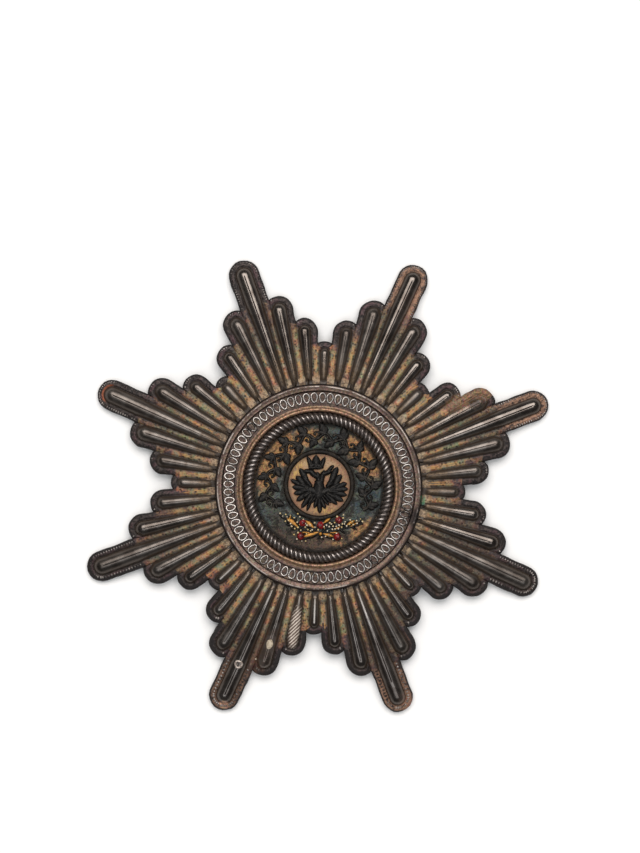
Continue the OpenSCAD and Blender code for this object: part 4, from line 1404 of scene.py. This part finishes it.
CREAM_BEADS = [
    (-6.4, -5.5), (-5.85, -5.15), (-3.65, -4.95), (-3.25, -5.5), (-2.6, -5.95), (-3.55, -7.45), (-3.0, -7.95),
    (-1.7, -7.8), (-0.4, -7.3), (-0.5, -6.5), (1.25, -7.15), (1.7, -6.85), (2.2, -7.1), (2.3, -6.4),
    (3.5, -7.0), (4.0, -6.75), (5.1, -6.1), (6.0, -5.7), (7.9, -5.45), (4.75, -4.85), (-3.65, -9.6),
    (-2.7, -9.95), (-2.0, -9.9), (-5.3, -6.2), (-4.7, -7.3), (-2.2, -7.35), (-1.2, -8.0), (0.2, -7.75),
    (1.9, -7.9), (2.8, -7.55), (4.5, -7.1), (5.4, -6.85), (6.6, -6.55), (7.3, -6.3), (3.0, -9.4),
    (4.6, -9.2), (-4.2, -8.8), (-1.9, -8.6), (1.6, -8.9), (-6.9, -5.0), (-5.9, -6.4), (-5.0, -5.3),
    (-4.3, -5.7), (-4.9, -6.8), (-4.1, -7.7), (-3.2, -6.9), (-2.2, -6.7), (-1.3, -6.9), (-0.9, -7.8),
    (0.5, -7.2), (2.6, -6.6), (3.2, -6.3), (3.9, -7.4), (4.6, -6.5), (5.0, -6.5), (5.9, -6.5),
    (6.4, -6.0), (7.2, -5.8), (8.3, -5.9), (3.6, -8.3), (2.2, -8.6), (-2.8, -8.7), (-3.5, -8.4),
    (0.9, -9.1), (4.7, -5.4), (3.6, -5.2), (-5.6, -5.6), (2.9, -7.0), (1.0, -6.5), (-1.9, -7.0),
    (3.3, -7.5), (-3.7, -6.5),
]
KNOT = Vector((0.66, -8.46))
# The berries' places, as shares of the band's radius
BERRIES = [(-0.225, -0.558), (0.05, -0.581), (0.332, -0.492), (-0.252, -0.761), (0.317, -0.752)]


def rows_of(leaves, fat=1.0, root=0.35, lift=1.0):
    """Leaves as rows of strokes."""
    return [(*leaf[:4], leaf[4] * fat, root, leaf[5], lift) for leaf in leaves]


def laurel(base, gilt, dark, cream):
    """Two crossed branches: dark stems and small leaves, a few broad gilt leaves, and cream beads."""
    centre = Vector((0, 0))
    mesh, high = relief_mesh()
    strokes(mesh, high, rows_of(GILT_LEAVES), centre, MM, 0.42 * MM, base, 0.3, 0.5, 2.2, 1.25)
    bead(mesh, high, KNOT * MM, 0.34 * MM, base + 0.3 * MM)
    leaves = piece(mesh, "gilt_laurel", gilt)
    mesh, high = relief_mesh()
    strokes(mesh, high, rows_of(DARK_LEAVES), centre, MM, 0.34 * MM, base)
    under = rows_of(GILT_LEAVES, 1.9, 0.5, 0.6)
    strokes(mesh, high, under, centre, MM, 0.3 * MM, base, 0, 0.5, 2.4)
    for line in STEMS:
        points = [Vector((x, y, 0)) * MM for x, y in line]
        stem(mesh, high, points, 0.19 * MM, 0.34 * MM, base)
    piece(mesh, "laurel_stems", dark)
    mesh, high = relief_mesh()
    for n, (x, y) in enumerate(CREAM_BEADS):
        own = 0.18 + 0.09 * noise.noise(Vector((n * 2.3, 0, 1)))
        bead(mesh, high, Vector((x, y)) * MM, own * MM, base + 0.22 * MM)
    piece(mesh, "laurel_beads", cream)
    return leaves


def berry(index, sizes, base, material):
    """A lumpy red drop."""
    mesh = bmesh.new()
    at = Vector(BERRIES[index]) * sizes.band_radius
    radius = sizes.berry_radius
    sunk = 0.15 * radius
    made = bmesh.ops.create_icosphere(mesh, subdivisions=4, radius=radius)["verts"]
    for v in made:
        lump = noise.fractal(v.co / MM * 1.6 + Vector((index * 5, 0, 0)), 0.8, 2.0, 3)
        v.co *= 0.95 + min(0.06, 0.2 * lump)
        v.co.z = max(v.co.z, -sunk) + sunk
        v.co.z *= 1.02
    bmesh.ops.translate(mesh, verts=mesh.verts, vec=(at.x, at.y, base))
    return piece(mesh, f"red_drop_{index + 1}", material)


# The rim's rounded section, as shares of its width and height
RIM_SECTION = [
    (0.0, 0.0), (0.0, 0.5), (0.08, 0.78), (0.28, 0.96), (0.5, 1.0), (0.72, 0.96), (0.92, 0.78), (1.0, 0.5),
    (1.0, 0.0),
]


def disc_rim(sizes, seat, material):
    """The thick black rim round the disc, a little uneven."""
    mesh = bmesh.new()
    centre = Vector((sizes.disc_right, sizes.disc_up, 0))
    inner, wide, tall = sizes.disc_radius + 0.04 * MM, 0.86 * MM, 0.85 * MM
    columns, rows = 144, len(RIM_SECTION) - 1

    def place(column, row):
        angle = math.tau * column / columns
        f, up = RIM_SECTION[row]
        own = noise.noise(Vector((math.cos(angle) * 4, math.sin(angle) * 4, f * 2)))
        tall_here = tall * up * (1 - 0.08 * max(0, own + 0.3))
        return centre + polar(inner + wide * f, angle, seat + tall_here), {}

    patch(mesh, columns, rows, place)
    weld(mesh, 0.01 * MM)
    holes = [e for e in mesh.edges if e.is_boundary]
    bmesh.ops.bridge_loops(mesh, edges=holes)
    bmesh.ops.recalc_face_normals(mesh, faces=mesh.faces)
    return piece(mesh, "grimy_rim", material)


class STAR_OT_plate(bpy.types.Operator):
    """Builds the stamped plate with its milled edge"""

    bl_idname = "star.plate"
    bl_label = "Stamped plate"

    def execute(self, context):
        sizes = sizes_of("star_sizes")
        tones = sizes_of("star_tones")
        made, plan = star_plate(sizes, star_paint(tones))
        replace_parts(made, "star_plate")
        milling(plan, sizes, milling_paint())
        scars(plan, chalk_paint(), worn_paint())
        return {"FINISHED"}


class STAR_OT_ring(bpy.types.Operator):
    """Builds the ring, its loops and the rope"""

    bl_idname = "star.ring"
    bl_label = "Ring and rope"

    def execute(self, context):
        sizes = sizes_of("middle_sizes")
        tones = sizes_of("star_tones")
        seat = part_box("medallion_ring")[0].z
        made = ring(seat, ring_paint(tones))
        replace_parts(made, "medallion_ring")
        loops(sizes, seat, loop_paint())
        twisted = rope(sizes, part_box("rope_bezel")[0].z, rope_paint())
        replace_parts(twisted, "rope_bezel")
        return {"FINISHED"}


class STAR_OT_middle(bpy.types.Operator):
    """Builds the eagle, the crown, the scroll, the laurel and the berries"""

    bl_idname = "star.middle"
    bl_label = "Enamelled middle"

    def execute(self, context):
        sizes = sizes_of("middle_sizes")
        tones = sizes_of("star_tones")
        on_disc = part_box("eagle")[0].z
        on_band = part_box("leaf_scroll")[0].z
        rim = disc_rim(sizes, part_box("disc_rim")[0].z, rim_paint())
        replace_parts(rim, "disc_rim")
        black = black_paint("Black eagle enamel", (0.004, 0.0035, 0.0035), (0.03, 0.026, 0.022))
        eagle = figure(sizes, "two_headed_eagle", on_disc, black, EAGLE_LAYERS)
        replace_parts(eagle, "eagle")
        crown = figure(sizes, "crown_of_three", on_disc, black, CROWN_LAYERS)
        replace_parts(crown, "crown")
        dark = black_paint("Dark scroll enamel", (0.005, 0.004, 0.0035), (0.045, 0.036, 0.027))
        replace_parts(scroll(sizes, on_band, dark), "leaf_scroll")
        leaves = laurel(on_band, gilt_paint(tones), black, cream_paint(tones))
        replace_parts(leaves, "laurel_branches")
        ruby = ruby_paint(tones)
        for index in range(len(BERRIES)):
            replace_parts(berry(index, sizes, on_band, ruby), f"berry_{index + 1}")
        return {"FINISHED"}


class STAR_OT_kept(bpy.types.Operator):
    """Gives the kept solids their finish"""

    bl_idname = "star.kept"
    bl_label = "Kept solids"

    def execute(self, context):
        tones = sizes_of("star_tones")
        finishes = {
            "enamel_band": band_paint(tones),
            "eagle_disc": disc_paint(),
            "back_pin": pin_paint(),
        }
        for name, material in finishes.items():
            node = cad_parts[name]
            node.data.materials.clear()
            node.data.materials.append(material)
        return {"FINISHED"}


# The table lies this far under the star's rim, so that the two don't flicker
TABLE_GAP = 0.02 * MM
# The photo's frame in pixels
PHOTO_WIDE, PHOTO_HIGH = 640, 853
# The lamps: name, place, width, height, watts and colour
LAMPS = [
    ("Window", (0.0, 0.53, 1.0), 1.15, 0.66, 10.5, (1.0, 0.965, 0.93)),
    ("Ceiling", (0.0, -0.1, 1.25), 0.9, 0.9, 0.7, (1.0, 0.965, 0.93)),
    ("Pane", (0.0, -0.28, 1.2), 0.8, 0.5, 2.2, (0.88, 0.94, 1.0)),
]


class STAR_OT_stage(bpy.types.Operator):
    """Sets the table, the lights and the camera"""

    bl_idname = "star.stage"
    bl_label = "Stage"

    def execute(self, context):
        s = sizes_of("stage_sizes")
        mesh = bmesh.new()
        bmesh.ops.create_grid(mesh, x_segments=1, y_segments=1, size=s.table / 2)
        bmesh.ops.translate(mesh, verts=mesh.verts, vec=(0, 0, -TABLE_GAP))
        data = bpy.data.meshes.new("table")
        mesh.to_mesh(data)
        mesh.free()
        table = bpy.data.objects.new("table", data)
        context.scene.collection.objects.link(table)
        paint = Paint("Pale table")
        data.materials.append(paint.finish(s.table_tone, 0.9, fixed={"Specular IOR Level": 0.2}))

        world = bpy.data.worlds.new("Studio")
        world.use_nodes = True
        nodes = world.node_tree.nodes
        sky = nodes["Background"]
        sky.inputs["Color"].default_value = (1.0, 0.985, 0.965, 1)
        # Glossy rays see a dimmer room than other rays, as if dark cloths stood round the table, so that the
        # polish mirrors less light than the room gives
        path = nodes.new("ShaderNodeLightPath")
        dimmed = nodes.new("ShaderNodeMapRange")
        dimmed.inputs["To Min"].default_value = s.room_light
        dimmed.inputs["To Max"].default_value = s.mirrored_light
        world.node_tree.links.new(path.outputs["Is Glossy Ray"], dimmed.inputs["Value"])
        world.node_tree.links.new(dimmed.outputs["Result"], sky.inputs["Strength"])
        context.scene.world = world
        for lamp in LAMPS:
            self.softbox(context, *lamp)
        self.camera(context, s)
        context.scene.view_settings.view_transform = "Standard"
        return {"FINISHED"}

    def softbox(self, context, name, place, wide, tall, watts, tint):
        """A rectangular lamp that looks at the star."""
        data = bpy.data.lights.new(name, "AREA")
        data.shape = "RECTANGLE"
        data.size = wide
        data.size_y = tall
        data.energy = watts
        data.color = tint
        lamp = bpy.data.objects.new(name, data)
        lamp.location = place
        lamp.rotation_mode = "QUATERNION"
        lamp.rotation_quaternion = (-Vector(place)).to_track_quat("-Z", "Y")
        context.scene.collection.objects.link(lamp)

    def camera(self, context, s):
        """Looks straight down, with the star where the photo has it."""
        data = bpy.data.cameras.new("Camera")
        data.lens = s.lens
        frame_high = PHOTO_HIGH / s.photo_scale * MM
        away = frame_high * s.lens / data.sensor_width
        right = (PHOTO_WIDE / 2 - s.middle_x) / s.photo_scale * MM
        up = (s.middle_y - PHOTO_HIGH / 2) / s.photo_scale * MM
        camera = bpy.data.objects.new("Camera", data)
        spin = Matrix.Rotation(s.roll, 3, "Z")
        camera.location = spin @ Vector((right, up, away))
        camera.rotation_euler = (0, 0, s.roll)
        context.scene.collection.objects.link(camera)
        context.scene.camera = camera


class STAR_PT_panel(bpy.types.Panel):
    """Lists the star's pieces"""

    bl_idname = "STAR_PT_panel"
    bl_label = "Breast star"
    bl_space_type = "VIEW_3D"
    bl_region_type = "UI"
    bl_category = "Star"

    def draw(self, context):
        for operator in OPERATORS:
            self.layout.operator(operator.bl_idname)


OPERATORS = (STAR_OT_plate, STAR_OT_ring, STAR_OT_middle, STAR_OT_kept, STAR_OT_stage)
GROUPS = {
    "star_sizes": StarSizes,
    "middle_sizes": MiddleSizes,
    "stage_sizes": StageSizes,
    "star_tones": Tones,
}


def register():
    """Makes the panel, the operators and the sizes known."""
    for kind in (*GROUPS.values(), *OPERATORS, STAR_PT_panel):
        bpy.utils.register_class(kind)
    for name, kind in GROUPS.items():
        setattr(bpy.types.Scene, name, bpy.props.PointerProperty(type=kind))


def unregister():
    """Takes them away again."""
    for name in GROUPS:
        delattr(bpy.types.Scene, name)
    for kind in reversed((*GROUPS.values(), *OPERATORS, STAR_PT_panel)):
        bpy.utils.unregister_class(kind)


def main():
    """Builds the star and the stage."""
    register()
    bpy.ops.star.plate()
    bpy.ops.star.ring()
    bpy.ops.star.middle()
    bpy.ops.star.kept()
    bpy.ops.star.stage()


if __name__ == "__main__":
    main()
